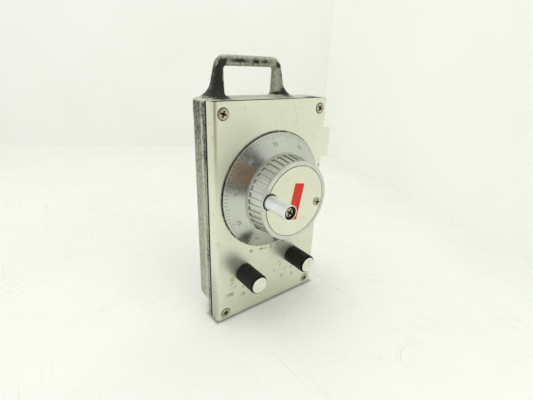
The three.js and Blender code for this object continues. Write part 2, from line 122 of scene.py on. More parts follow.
def joined(meshes):
    """Several meshes as one."""
    body = bmesh.new()
    for mesh in meshes:
        body.from_mesh(mesh)
    made = bpy.data.meshes.new("part")
    body.to_mesh(made)
    body.free()
    return made


def moved(mesh, matrix):
    mesh.transform(matrix)
    return mesh


def placed(name, data):
    """An object in the scene, from its data."""
    obj = bpy.data.objects.new(name, data)
    bpy.context.scene.collection.objects.link(obj)
    return obj


def evaluated(holder):
    """The mesh that a passing object's modifiers or text make; the object is removed."""
    graph = bpy.context.evaluated_depsgraph_get()
    made = bpy.data.meshes.new_from_object(holder.evaluated_get(graph))
    bpy.data.objects.remove(holder)
    return made


def store(mesh, name, values):
    """One number for each vertex, for a material to read."""
    layer = mesh.attributes.new(name, "FLOAT", "POINT")
    layer.data.foreach_set("value", values)


def polar(centre, radius, angle):
    """The x and z of a point about a centre, its angle from +X towards +Z."""
    return centre.x + radius * math.cos(angle), centre.z + radius * math.sin(angle)


def modified(mesh, kind, settings):
    """The mesh after a modifier."""
    holder = placed("holder", mesh)
    modifier = holder.modifiers.new(kind.lower(), kind)
    for key, value in settings.items():
        setattr(modifier, key, value)
    return evaluated(holder)


def combined(mesh, tool, operation="DIFFERENCE"):
    """The mesh with another mesh cut from it or joined to it."""
    holder = placed("holder", tool)
    settings = {"operation": operation, "solver": "EXACT", "object": holder}
    made = modified(mesh, "BOOLEAN", settings)
    bpy.data.objects.remove(holder)
    return made


def bevelled(mesh, width, angle):
    settings = {"width": width, "segments": 2, "limit_method": "ANGLE", "angle_limit": math.radians(angle)}
    return modified(mesh, "BEVEL", settings)


def softened(corners, steps=4, closed=False):
    """A polyline whose corners, given as (a, b, radius), are rounded."""
    count = len(corners)
    points = []
    for i, (a, b, radius) in enumerate(corners):
        here = np.array([a, b], float)
        if radius <= 0 or (not closed and i in (0, count - 1)):
            points.append(here)
            continue
        before = np.array(corners[i - 1][:2], float) - here
        after = np.array(corners[(i + 1) % count][:2], float) - here
        reach_before, reach_after = np.linalg.norm(before), np.linalg.norm(after)
        cosine = np.dot(before, after) / (reach_before * reach_after)
        half = math.acos(max(-1, min(1, cosine))) / 2
        reach = min(radius / math.tan(half), 0.49 * reach_before, 0.49 * reach_after)
        start = here + before / reach_before * reach
        end = here + after / reach_after * reach
        for step in range(steps + 1):
            t = step / steps
            points.append((1 - t) ** 2 * start + 2 * t * (1 - t) * here + t * t * end)
    return points


ORIGIN = Vector()


def turned(corners, segments, at=ORIGIN, ring=False, shape=None):
    """A profile of (radius, y, rounding) turned about the line along Y through a point.

    shape(radius, y, angle) may change a point's radius. A ring's profile closes on itself.
    """
    profile = softened(corners, closed=ring)
    vertices, rows = [], []
    for radius, y in profile:
        if radius < 1e-6:
            rows.append([len(vertices)] * segments)
            vertices.append((at.x, y, at.z))
            continue
        rows.append(range(len(vertices), len(vertices) + segments))
        for i in range(segments):
            angle = 2 * math.pi * i / segments
            x, z = polar(at, shape(radius, y, angle) if shape else radius, angle)
            vertices.append((x, y, z))
    faces = []
    pairs = list(zip(rows, rows[1:])) + ([(rows[-1], rows[0])] if ring else [])
    for row, after in pairs:
        for i in range(segments):
            j = (i + 1) % segments
            corner = [row[i], row[j], after[j], after[i]]
            face = [c for n, c in enumerate(corner) if c not in corner[:n]]
            if len(face) > 2:
                faces.append(face)
    return mesh_of(vertices, faces)


def prism_of(vertices):
    """A prism from the corners of one end and then, in the same order, of the other."""
    count = len(vertices) // 2
    sides = [(i, (i + 1) % count, count + (i + 1) % count, count + i) for i in range(count)]
    return mesh_of(vertices, [range(count), range(2 * count - 1, count - 1, -1), *sides])


def prism(outline, y0, y1):
    """An outline of (x, z) points with its faces at y0 and y1."""
    return prism_of([(x, y, z) for y in (y0, y1) for x, z in outline])


def upright_prism(outline, z0, z1):
    """An outline of (x, y) points with its faces at z0 and z1."""
    return prism_of([(x, y, z) for z in (z0, z1) for x, y in outline])


def block(low, high):
    (x0, y0, z0), (x1, y1, z1) = low, high
    return prism([(x0, z0), (x1, z0), (x1, z1), (x0, z1)], y0, y1)


def pin(radius, y0, y1, segments, at=ORIGIN):
    """A plain cylinder along Y, for cutting a hole."""
    return turned([(0, y0, 0), (radius, y0, 0), (radius, y1, 0), (0, y1, 0)], segments, at)


def sink(head, shank, rim, taper, segments, at):
    """A countersunk hole's tool, with how deep its rim and its taper lie behind the cover's face."""
    profile = [(0, FACE - 1, 0), (head, FACE - 1, 0), (head, FACE + rim, 0)]
    profile += [(shank, FACE + taper, 0), (shank, FACE + 4, 0), (0, FACE + 4, 0)]
    return turned(profile, segments, at)


def cross_tool(span, slot, top, depth):
    """The recess of a cross-head screw: four arms that narrow to a point, about the origin."""
    rings = [(1.0, top - 1), (1.0, top + 0.15), (0.66, top + depth * 0.6), (0.34, top + depth)]
    vertices = []
    for scale, y in rings:
        arm, side = span / 2 * scale, slot / 2 * (0.5 + 0.5 * scale)
        for turn in range(4):
            quarter = Matrix.Rotation(turn * math.pi / 2, 3, "Y")
            for dx, dz in ((arm, -side), (arm, side), (side, side)):
                vertices.append(quarter @ Vector((dx, y, -dz)))
    count = 12
    faces = [range(count), range(len(vertices) - 1, len(vertices) - 1 - count, -1)]
    for level in range(len(rings) - 1):
        base = level * count
        for i in range(count):
            j = (i + 1) % count
            faces.append((base + i, base + j, base + count + j, base + count + i))
    return mesh_of(vertices, faces)


def piece(name, mesh, look, body, replaces=(), sharp=38, weighted=True, shade_filled=None):
    """A finished piece of the pendant: in metres, smooth, on its body and with its slot.

    look is a name in LOOKS, and the last test, given a face's centre, says which faces take the black fill
    that paints shade into recesses.
    """
    mesh.name = name
    mesh.materials.clear()
    mesh.materials.append(LOOKS[look].material)
    if shade_filled:
        mesh.materials.append(LOOKS["dark_fill"].material)
    for face in mesh.polygons:
        face.material_index = 1 if shade_filled and shade_filled(face.center) else 0
    mesh.transform(Matrix.Scale(MM, 4))
    mesh.polygons.foreach_set("use_smooth", [True] * len(mesh.polygons))
    mesh.set_sharp_from_angle(angle=math.radians(sharp))
    mesh.update()
    obj = placed(name, mesh)
    if weighted:
        modifier = obj.modifiers.new("normals", "WEIGHTED_NORMAL")
        modifier.keep_sharp = True
    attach(obj, body)
    if replaces:
        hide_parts(*replaces)
    return obj


# ---- Materials ----


class Look:
    """A Principled material whose textures are laid out in the piece's own millimetres."""

    def __init__(self, name, color, roughness, metallic=0.0, **sockets):
        self.material = bpy.data.materials.new(name)
        self.material.use_nodes = True
        self.tree = self.material.node_tree
        self.shader = self.tree.nodes["Principled BSDF"]
        self.shader.inputs["Base Color"].default_value = (*color, 1)
        self.shader.inputs["Roughness"].default_value = roughness
        self.shader.inputs["Metallic"].default_value = metallic
        for socket, value in sockets.items():
            self.shader.inputs[socket.replace("_", " ")].default_value = value
        self.place = self.node("TexCoord").outputs["Object"]

    def node(self, kind, inputs=None, **settings):
        made = self.tree.nodes.new("ShaderNode" + kind)
        for key, value in settings.items():
            setattr(made, key, value)
        for key, value in (inputs or {}).items():
            self.feed(made.inputs[key], value)
        return made

    def feed(self, socket, value):
        if isinstance(value, bpy.types.NodeSocket):
            self.tree.links.new(value, socket)
        else:
            socket.default_value = value

    def drive(self, socket, value):
        self.feed(self.shader.inputs[socket], value)

    def spot(self, stretch=(1, 1, 1), turn=(0, 0, 0), shift=(0, 0, 0)):
        """The piece's own coordinates in millimetres, stretched, turned and shifted."""
        inputs = {
            "Vector": self.place,
            "Scale": [1 / MM / s for s in stretch],
            "Rotation": [math.radians(t) for t in turn],
            "Location": shift,
        }
        return self.node("Mapping", inputs).outputs[0]

    def noise(self, size, detail=3.0, roughness=0.55, **spot):
        inputs = {
            "Vector": self.spot(**spot),
            "Scale": 1 / size,
            "Detail": detail,
            "Roughness": roughness,
        }
        return self.node("TexNoise", inputs).outputs[0]

    def waves(self, distance, size):
        """Noise along one distance, for lines that keep their shape across it."""
        inputs = {"W": self.math("DIVIDE", distance, size), "Detail": 2.0, "Scale": 1.0}
        return self.node("TexNoise", inputs, noise_dimensions="1D").outputs[0]

    def spread(self, value, low, high, out_low=0.0, out_high=1.0):
        inputs = {
            "Value": value,
            "From Min": low,
            "From Max": high,
            "To Min": out_low,
            "To Max": out_high,
        }
        return self.node("MapRange", inputs, interpolation_type="SMOOTHSTEP").outputs[0]

    def math(self, operation, a, b=0.0):
        return self.node("Math", {0: a, 1: b}, operation=operation).outputs[0]

    def times(self, a, b):
        return self.math("MULTIPLY", a, b)

    def vector(self, operation, a, b=None):
        inputs = {0: a} if b is None else {0: a, 1: b}
        return self.node("VectorMath", inputs, operation=operation).outputs

    def axes(self, vector):
        return self.node("SeparateXYZ", {0: vector}).outputs

    def from_axis(self, centre):
        """The offset from a line along Y through a centre, and the distance from it."""
        offset = self.vector("SUBTRACT", self.spot(), (centre.x, 0, centre.z))[0]
        flat = self.vector("MULTIPLY", offset, (1, 0, 1))[0]
        return offset, self.vector("LENGTH", flat)["Value"]

    def blend(self, share, a, b):
        """Colour a where share is 0 and colour b where it is 1."""
        colors = [c if isinstance(c, bpy.types.NodeSocket) else (*c, 1) for c in (a, b)]
        return self.node("Mix", {0: share, 6: colors[0], 7: colors[1]}, data_type="RGBA").outputs[2]

    def base(self):
        """The colour's socket as it stands, for one more layer over it."""
        return self.shader.inputs["Base Color"].links[0].from_socket

    def attribute(self, name):
        return self.node("Attribute", attribute_name=name).outputs["Fac"]

    def bump(self, height, depth, strength=1.0):
        """Relief of the given depth in millimetres."""
        inputs = {"Height": height, "Distance": depth * MM, "Strength": strength}
        previous = self.shader.inputs["Normal"]
        if previous.is_linked:
            inputs["Normal"] = previous.links[0].from_socket
        self.drive("Normal", self.node("Bump", inputs).outputs[0])


def scratch_lines(look, turn, length, width, low, high):
    """Sparse thin lines, along the piece's height turned by an angle."""
    lines = look.noise(1.0, 1.0, stretch=(width, width, length), turn=(0, turn, 0))
    patches = look.noise(17.0, 1.0, shift=(turn, 0, turn))
    return look.times(look.spread(lines, low, high), look.spread(patches, 0.45, 0.62))


def sheet_look(name, color, roughness):
    """Handled satin aluminium sheet: fine brushing, cloudy tarnish, smudges and hairline scratches."""
    look = Look(name, color, roughness, metallic=0.82)
    cloud = look.noise(34.0, 3.0)
    smudge = look.noise(9.0, 5.0, 0.65, shift=(7, 3, 1))
    brushed = look.noise(1.0, 2.0, stretch=(0.35, 0.35, 26))
    stain = tuple(c * k for c, k in zip(color, (0.80, 0.80, 0.74)))
    pale = tuple(min(1, c * 1.06) for c in color)
    base = look.blend(look.spread(cloud, 0.35, 0.68), color, pale)
    base = look.blend(look.spread(smudge, 0.56, 0.74, 0.0, 0.55), base, stain)
    lines = look.math(
        "MAXIMUM",
        scratch_lines(look, 24, 30, 0.16, 0.70, 0.76),
        scratch_lines(look, -52, 22, 0.14, 0.71, 0.77),
    )
    dark = tuple(c * 0.62 for c in color)
    base = look.blend(look.times(lines, 0.5), base, dark)
    look.drive("Base Color", base)
    rough = look.spread(cloud, 0.3, 0.7, roughness - 0.05, roughness + 0.05)
    rough = look.math("ADD", rough, look.spread(smudge, 0.5, 0.8, 0.0, 0.10))
    rough = look.math("ADD", rough, look.spread(brushed, 0.3, 0.7, -0.03, 0.03))
    look.drive("Roughness", rough)
    look.bump(brushed, 0.004)
    look.bump(look.noise(45.0, 1.0), 0.25)
    look.bump(lines, -0.02)
    return look


def cover_look():
    """The cover's sheet, with painted shading along its left bend, a painted shadow ring round the dial,
    broad painted shade and highlight patches, and small stains round the places hands reach.
    """
    look = sheet_look("cover_aluminium", (0.735, 0.75, 0.62), 0.36)
    base = look.base()
    axes = look.axes(look.spot())
    # Painted shading: a tan band darkens the rounded left bend, strongest near the top and gone below
    # halfway up.
    bend = look.math("ABSOLUTE", look.math("ADD", axes[0], HALF_WIDTH - 2.2))
    bend = look.spread(bend, 0.2, 2.4, 0.60, 0.0)
    fade = look.spread(axes[2], HEIGHT * 0.5, HEIGHT * 0.95)
    base = look.blend(look.times(bend, fade), base, (0.42, 0.37, 0.235))
    # Painted shadow: a patchy dark ring on the sheet just round the dial's edge, where the gap under the
    # dial is in shade.
    ring = look.math("ABSOLUTE", look.math("SUBTRACT", look.from_axis(WHEEL)[1], DIAL_RADIUS + 0.1))
    patch = look.spread(look.noise(4.0, 3.0, shift=(5, 1, 9)), 0.35, 0.6, 0.55, 1.0)
    ring = look.times(look.spread(ring, 0.6, 1.9, 0.92, 0.0), patch)
    base = look.blend(ring, base, (0.05, 0.05, 0.035))
    left = middle("selector_knob_left")
    for centre, reach, amount, stain in (
        # Painted shade: a broad darker patch on the upper left, standing in for a dark reflection.
        ((-36, FACE, 158), (36, 20, 42), 0.50, (0.50, 0.50, 0.40)),
        # Painted highlight: a broad paler patch over the right.
        ((66, FACE, 140), (46, 20, 80), 0.55, (0.86, 0.87, 0.77)),
        # Painted shade: the sheet darker towards its bottom.
        ((0, FACE, -14), (90, 20, 48), 0.24, (0.52, 0.53, 0.42)),
        ((left.x - 12.5, FACE, left.z - 4), (4, 4, 6), 0.55, (0.42, 0.40, 0.12)),
        ((-57.5, FACE + 5, 184), (3, 3, 1.2), 0.8, (0.16, 0.12, 0.07)),
        ((55.5, FACE, 137), (1.6, 3, 2.2), 0.8, (0.12, 0.12, 0.09)),
        # Painted shade: the cover's left side darker over its lower part.
        ((-HALF_WIDTH, FACE + 6, 20), (4, 12, 50), 0.45, (0.22, 0.22, 0.16)),
    ):
        place = look.vector("DIVIDE", look.vector("SUBTRACT", look.spot(), centre)[0], reach)[0]
        far = look.vector("LENGTH", place)["Value"]
        base = look.blend(look.spread(far, 0.15, 1.0, amount, 0.0), base, stain)
    look.drive("Base Color", base)
    return look


def ring_lines(look, centre):
    """Fine grooves left by the lathe, about a line along Y through a centre."""
    size = 0.35
    place, reach = look.from_axis(centre)
    depth = look.axes(place)[1]
    return look.waves(look.math("ADD", reach, look.times(depth, 0.7)), size)


def turned_look(name, color, roughness, centre, dirt, metallic=1.0, uneven=1.0):
    """Lathe-turned metal with a satin finish, fine rings and a little grime."""
    look = Look(name, color, roughness, metallic=metallic)
    rings = ring_lines(look, centre)
    cloud = look.noise(12.0, 4.0, 0.6)
    dark_fill = look.noise(3.2, 5.0, 0.7, shift=(3, 8, 2))
    shade = tuple(c * (1 - 0.1 * uneven) for c in color)
    base = look.blend(look.spread(cloud, 0.35, 0.65), color, shade)
    dark = (0.16, 0.155, 0.12)
    base = look.blend(look.spread(dark_fill, 0.66, 0.80, 0.0, dirt), base, dark)
    look.drive("Base Color", base)
    rough = look.spread(cloud, 0.3, 0.7, roughness - 0.04 * uneven, roughness + 0.05 * uneven)
    rough = look.math("ADD", rough, look.spread(rings, 0.3, 0.7, -0.03, 0.03))
    look.drive("Roughness", rough)
    look.bump(rings, 0.006)
    return look


def drum_look():
    """The turned grip metal, with painted shade in black along the feet of its pockets' walls and at their
    ends.
    """
    look = turned_look("drum_metal", (0.68, 0.70, 0.645), 0.34, WHEEL, dirt=0.10)
    base = look.base()
    patch = look.noise(2.2, 4.0)
    dark_fill = look.times(look.attribute("dark_fill"), look.spread(patch, 0.32, 0.55, 0.30, 1.0))
    look.drive("Base Color", look.blend(dark_fill, base, (0.018, 0.017, 0.012)))
    look.drive("Metallic", look.spread(dark_fill, 0.0, 1.0, 1.0, 0.1))
    return look


def casting_look():
    """Cast alloy whose dark paint has worn through, guided by maps of paint, edges and tone."""
    look = Look("cast_case", (0.02, 0.02, 0.017), 0.5, Specular_IOR_Level=0.3)
    paint, edge, tone = (look.attribute(name) for name in ("paint", "edge", "tone"))
    coarse = look.noise(3.0, 6.0, 0.62)
    fine = look.noise(1.2, 4.0, 0.6, stretch=(1, 1, 1.3))
    broad = look.noise(16.0, 3.0, 0.5)
    peel = look.noise(1.25, 2.0, 0.5)
    grain = look.noise(0.35, 2.0, 0.6)
    scrape = look.noise(1.0, 3.0, stretch=(0.7, 0.7, 9))
    mixed = look.math("ADD", look.times(coarse, 0.45), look.times(fine, 0.35))
    mixed = look.math("ADD", mixed, look.times(broad, 0.20))
    level = look.math("ADD", look.times(paint, 0.40), 0.30)
    level = look.math("SUBTRACT", level, look.times(edge, 0.13))
    gap = look.math("SUBTRACT", level, mixed)
    painted = look.spread(gap, -0.02, 0.03)
    film = look.spread(gap, -0.15, 0.0)
    pale = look.blend(look.spread(peel, 0.35, 0.65), (0.53, 0.545, 0.44), (0.66, 0.675, 0.56))
    dull = look.blend(look.spread(peel, 0.35, 0.65), (0.125, 0.122, 0.092), (0.205, 0.20, 0.152))
    bare = look.blend(tone, dull, pale)
    bare = look.blend(look.spread(scrape, 0.50, 0.72, 0.0, 0.35), bare, (0.10, 0.10, 0.078))
    bare = look.blend(look.times(film, 0.60), bare, (0.075, 0.075, 0.06))
    bright = look.spread(look.times(edge, look.spread(coarse, 0.35, 0.6, 0.4, 1.0)), 0.25, 0.9)
    bare = look.blend(look.times(bright, 0.6), bare, (0.62, 0.63, 0.52))
    dark = look.blend(look.spread(grain, 0.4, 0.7), (0.010, 0.010, 0.008), (0.026, 0.026, 0.021))
    look.drive("Base Color", look.blend(painted, bare, dark))
    look.drive("Metallic", look.spread(painted, 0.0, 1.0, 0.35, 0.0))
    look.drive("Roughness", look.spread(painted, 0.0, 1.0, 0.52, 0.46))
    look.bump(peel, 0.16, 0.8)
    look.bump(painted, 0.05)
    look.bump(grain, 0.02)
    return look


def plastic_look(name, color, roughness, dust):
    look = Look(name, color, roughness, Specular_IOR_Level=0.22)
    cloud = look.noise(2.4, 5.0, 0.65)
    grain = look.noise(0.28, 2.0)
    dusty = tuple(c * 0.6 + dust for c in color)
    look.drive("Base Color", look.blend(look.spread(cloud, 0.52, 0.78, 0.0, 0.55), color, dusty))
    look.drive("Roughness", look.spread(cloud, 0.3, 0.7, roughness - 0.06, roughness + 0.1))
    look.bump(grain, 0.015)
    return look


def metal_look(name, color, roughness, tarnish, mottle=3.0):
    look = Look(name, color, roughness, metallic=1.0)
    cloud = look.noise(mottle, 5.0, 0.65)
    grain = look.noise(0.4, 2.0)
    look.drive("Base Color", look.blend(look.spread(cloud, 0.42, 0.66), color, tarnish))
    look.drive("Roughness", look.spread(cloud, 0.3, 0.7, roughness - 0.06, roughness + 0.12))
    look.bump(grain, 0.01)
    return look


def board_look():
    look = Look("fibreglass_board", (0.045, 0.16, 0.07), 0.45)
    weave = look.node(
        "TexWave", {"Vector": look.spot(), "Scale": 0.9, "Distortion": 0.4}, wave_type="BANDS"
    ).outputs[0]
    look.drive("Base Color", look.blend(weave, (0.035, 0.13, 0.06), (0.06, 0.2, 0.09)))
    look.drive("Roughness", look.spread(look.noise(4.0), 0.3, 0.7, 0.38, 0.55))
    look.bump(weave, 0.01)
    return look


def glass_look():
    look = Look("code_disc_glass", (0.80, 0.88, 0.86), 0.06, Transmission_Weight=0.85, IOR=1.5)
    look.drive("Roughness", look.spread(look.noise(3.0), 0.3, 0.7, 0.04, 0.12))
    return look


def label_look():
    """Printed red film, a little faded and scuffed."""
    look = Look("red_label", (0.66, 0.03, 0.015), 0.45, Specular_IOR_Level=0.2)
    fade = look.noise(5.0, 4.0)
    scuff = look.noise(0.8, 3.0, 0.7)
    base = look.blend(look.spread(fade, 0.3, 0.7), (0.60, 0.026, 0.016), (0.70, 0.048, 0.028))
    base = look.blend(look.spread(scuff, 0.68, 0.80, 0.0, 0.5), base, (0.75, 0.30, 0.24))
    look.drive("Base Color", base)
    look.drive("Roughness", look.spread(scuff, 0.3, 0.8, 0.32, 0.5))
    look.bump(fade, 0.03)
    return look


def ink_look(name, color, worn):
    look = Look(name, color, 0.6)
    wear = look.noise(0.9, 4.0, 0.7)
    look.drive("Base Color", look.blend(look.spread(wear, 0.45, 0.62), color, worn))
    look.drive("Roughness", look.spread(wear, 0.3, 0.7, 0.5, 0.7))
    look.bump(wear, 0.01)
    return look


def wall_look(name, shade):
    look = Look(name, (0.9, 0.9, 0.9), 0.85)
    cloud = look.noise(220.0, 2.0)
    dull, bright = (0.895, 0.905, 0.865), (0.92, 0.93, 0.90)
    dull, bright = (tuple(c * shade for c in color) for color in (dull, bright))
    look.drive("Base Color", look.blend(look.spread(cloud, 0.3, 0.7), dull, bright))
    return look


def floor_look():
    look = Look("floor_paper", (0.90, 0.905, 0.87), 0.75)
    cloud = look.noise(160.0, 3.0)
    fleck = look.noise(14.0, 6.0, 0.7)
    base = look.blend(look.spread(cloud, 0.3, 0.7), (0.875, 0.885, 0.835), (0.905, 0.915, 0.87))
    base = look.blend(look.spread(fleck, 0.66, 0.80, 0.0, 0.25), base, (0.74, 0.74, 0.68))
    for degrees, shift in ((28, 0), (-33, 40), (74, 90)):
        scores = look.noise(1.0, 1.0, stretch=(1.3, 150, 60), turn=(0, 0, degrees), shift=(shift, 0, 0))
        zone = look.noise(90.0, 2.0, shift=(shift, shift, 0))
        share = look.times(look.spread(scores, 0.69, 0.76), look.spread(zone, 0.44, 0.60, 0.0, 0.55))
        base = look.blend(share, base, (0.66, 0.64, 0.54))
    for centre, shift in (((60, -150, 0), 3), ((-120, -260, 0), 8)):
        arcs = look.waves(look.vector("DISTANCE", look.spot(), centre)["Value"], 1.6)
        zone = look.noise(48.0, 2.0, shift=(shift, 0, shift))
        share = look.times(look.spread(arcs, 0.68, 0.75), look.spread(zone, 0.50, 0.64, 0.0, 0.60))
        base = look.blend(share, base, (0.68, 0.66, 0.55))
    axes = look.axes(look.spot())
    beyond = [
        look.math("MAXIMUM", look.math("SUBTRACT", look.math("ABSOLUTE", axis), edge))
        for axis, edge in ((axes[0], HALF_WIDTH), (axes[1], -FACE))
    ]
    away = look.node("CombineXYZ", {0: beyond[0], 1: beyond[1]}).outputs[0]
    away = look.vector("LENGTH", away)["Value"]
    # Painted contact shadow: the floor darkens close round the pendant's footprint.
    base = look.blend(look.spread(away, -0.5, 3.6, 0.66, 0.0), base, (0.16, 0.16, 0.135))
    look.drive("Base Color", base)
    return look


LOOKS = {
    "cast": casting_look(),
    "cover": cover_look(),
    "disc": sheet_look("disc_aluminium", (0.75, 0.76, 0.625), 0.38),
    "dial": turned_look("dial_metal", (0.57, 0.595, 0.53), 0.27, WHEEL, dirt=0.05, uneven=0.25),
    "drum": drum_look(),
    "spinner": turned_look("spinner_metal", (0.90, 0.93, 0.925), 0.30, CRANK, dirt=0.04, metallic=0.75),
    "zinc": metal_look("yellow_zinc", (0.56, 0.53, 0.37), 0.38, (0.38, 0.34, 0.22), 1.6),
    "steel": metal_look("bright_steel", (0.56, 0.55, 0.52), 0.32, (0.42, 0.41, 0.38)),
    "aluminium": metal_look("machined_alloy", (0.72, 0.72, 0.69), 0.36, (0.62, 0.62, 0.58)),
    "brass": metal_look("brass", (0.66, 0.49, 0.21), 0.32, (0.48, 0.34, 0.15)),
    "rubber": plastic_look("black_rubber", (0.010, 0.010, 0.009), 0.8, 0.012),
    "black": plastic_look("black_plastic", (0.010, 0.010, 0.009), 0.45, 0.012),
    "knob": plastic_look("knob_black", (0.012, 0.0115, 0.009), 0.46, 0.012),
    # Black for screw recesses, the set screw's hole and the caps' rims: painted shade.
    "dark_fill": plastic_look("recess_shade_black", (0.010, 0.009, 0.006), 0.85, 0.01),
    "board": board_look(),
    "glass": glass_look(),
    "label": label_look(),
    "ink": ink_look("printed_ink", (0.10, 0.095, 0.068), (0.32, 0.315, 0.24)),
    "engraving": ink_look("engraved_lines", (0.21, 0.215, 0.195), (0.34, 0.345, 0.315)),
}


# ---- Case: a casting with its handle, as a distance field turned into a mesh ----


def round_max(a, b, radius):
    """Intersection of two distance fields whose shared edge has a radius."""
    if radius <= 0:
        return np.maximum(a, b)
    inner = np.minimum(np.maximum(a, b), -radius)
    return inner + np.hypot(np.maximum(a + radius, 0), np.maximum(b + radius, 0))


def soft_min(a, b, reach):
    """Union of two distance fields with a fillet of about that reach."""
    overlap = np.maximum(reach - np.abs(a - b), 0) / reach
    return np.minimum(a, b) - overlap * overlap * reach / 4


def block_field(p, low, high, radius=0.0):
    low, high = np.array(low, float), np.array(high, float)
    q = np.abs(p - (low + high) / 2) - ((high - low) / 2 - radius)
    outside = np.linalg.norm(np.maximum(q, 0), axis=-1)
    return outside + np.minimum(q.max(axis=-1), 0) - radius


HANDLE_X = -11.8
HANDLE_TOP = CASE_HIGH.z
HANDLE_Y = FACE + 24.3
HANDLE_HALF = 30.2  # half the handle's width at its top
HANDLE_FOOT, HANDLE_FOOT_HALF = 206, 35.8  # a height near its feet, and half its width there
WINDOW_HALF, WINDOW_TOP = 25.4, 223.9


def handle_field(p):
    """The handle: a bar bent into an arch, narrower at its top, with rounded edges."""
    across = np.abs(p[..., 0] - HANDLE_X)
    z = p[..., 2]
    lean = math.atan2(HANDLE_FOOT_HALF - HANDLE_HALF, HANDLE_TOP - HANDLE_FOOT)
    side = (across - HANDLE_HALF - (HANDLE_TOP - z) * math.tan(lean)) * math.cos(lean)
    outer = round_max(side, z - HANDLE_TOP, 7.5)
    window_half = WINDOW_HALF - (WINDOW_TOP - z) * 0.031
    window = round_max(across - window_half, z - WINDOW_TOP, 2.6)
    arch = np.maximum(np.maximum(outer, -window), HEIGHT - 2.5 - z)
    half_depth = 4.1 + np.clip((HANDLE_TOP - z) / 30, 0, 1) * 0.9
    return round_max(arch, np.abs(p[..., 1] - HANDLE_Y) - half_depth, 2.9)


def case_field(p):
    """The outside of the casting."""
    x, y, z = np.abs(p[..., 0]), p[..., 1], p[..., 2]
    upright = round_max(x - HALF_WIDTH, z - HEIGHT, 1.8)
    low_back = round_max(BODY_LOW - z, y - CASE_BACK, 5.5)
    body = round_max(round_max(upright, low_back, 2.0), BODY_FRONT - y, 0.8)
    band_edge = round_max(x - (HALF_WIDTH - 0.5), z - (HEIGHT - 1.2), 1.0)
    band_foot = round_max(-z, y - BAND_BACK, 5.0)
    band = round_max(np.maximum(band_edge, band_foot), BAND_FRONT - y, 0.4)
    inner, rim, back = HALF_WIDTH - SHEET - 0.3, HALF_WIDTH - 0.3, BODY_FRONT + 3
    register = block_field(p, (-inner, FACE + 3, 0), (inner, BAND_FRONT + 2, HEIGHT - STEP_DROP), 0.4)
    step = block_field(p, (-inner, STEP_FRONT, HEIGHT - 6), (inner, back, HEIGHT), 0.6)
    lip = block_field(p, (-rim, BAND_FRONT, HEIGHT - 1.9), (rim, back, HEIGHT), 0.8)
    case = np.min([body, lip, step, band, register], axis=0)
    web_low = (HANDLE_X - 30, HANDLE_Y - 3.4, HEIGHT - 3)
    web = block_field(p, web_low, (HANDLE_X + 30, HANDLE_Y + 3.4, HEIGHT + 1), 1.0)
    outward = np.clip((np.abs(p[..., 0] - HANDLE_X) - 26) / 10, 0, 1)
    reach = 4.0 + 9.0 * outward
    cast = soft_min(soft_min(case, web, 3.0), handle_field(p), reach)
    return np.maximum(cast, np.maximum(x - HALF_WIDTH, y - CASE_BACK))


def inside_field(p):
    """The room inside the casting, with its mouth behind the cover."""
    half, top = HALF_WIDTH - WALL - 2.3, HEIGHT - WALL - 0.2
    room_low = (-half, BAND_BACK - WALL - 2, BODY_LOW + WALL)
    room = block_field(p, room_low, (half, CASE_BACK - WALL, top), 1.5)
    mouth = block_field(p, (-half, FACE, 3.2), (half, BAND_BACK - WALL, top), 1.0)
    corner = [middle(f"cover_screw_{i}") for i in range(1, 5)]
    boss = np.min([np.hypot(p[..., 0] - c.x, p[..., 2] - c.z) - 5.2 for c in corner], axis=0)
    return np.minimum(room, np.maximum(mouth, -boss))


def solid_field(p):
    """Metal is below zero: the casting less its inside and the holes for screws, feet and gland."""
    x, y, z = p[..., 0], p[..., 1], p[..., 2]
    field = np.maximum(case_field(p), -inside_field(p))
    for i in range(1, 5):
        screw, foot = middle(f"cover_screw_{i}"), middle(f"foot_{i}")
        bore = np.maximum(np.hypot(x - screw.x, z - screw.z) - 2.6, y - FACE - 13.5)
        hole = np.maximum(np.hypot(x - foot.x, z - foot.z) - 2.0, FACE + 25 - y)
        field = np.max([field, -bore, -hole], axis=0)
    gland = middle("gland_nut")
    bore = np.maximum(np.hypot(x - gland.x, y - gland.y) - 4.4, z - 20)
    return np.maximum(field, -bore)


def gradient(field, p, step=0.05):
    slopes = []
    for axis in range(3):
        shift = np.zeros(3)
        shift[axis] = step
        slopes.append((field(p + shift) - field(p - shift)) / (2 * step))
    return np.stack(slopes, axis=-1)


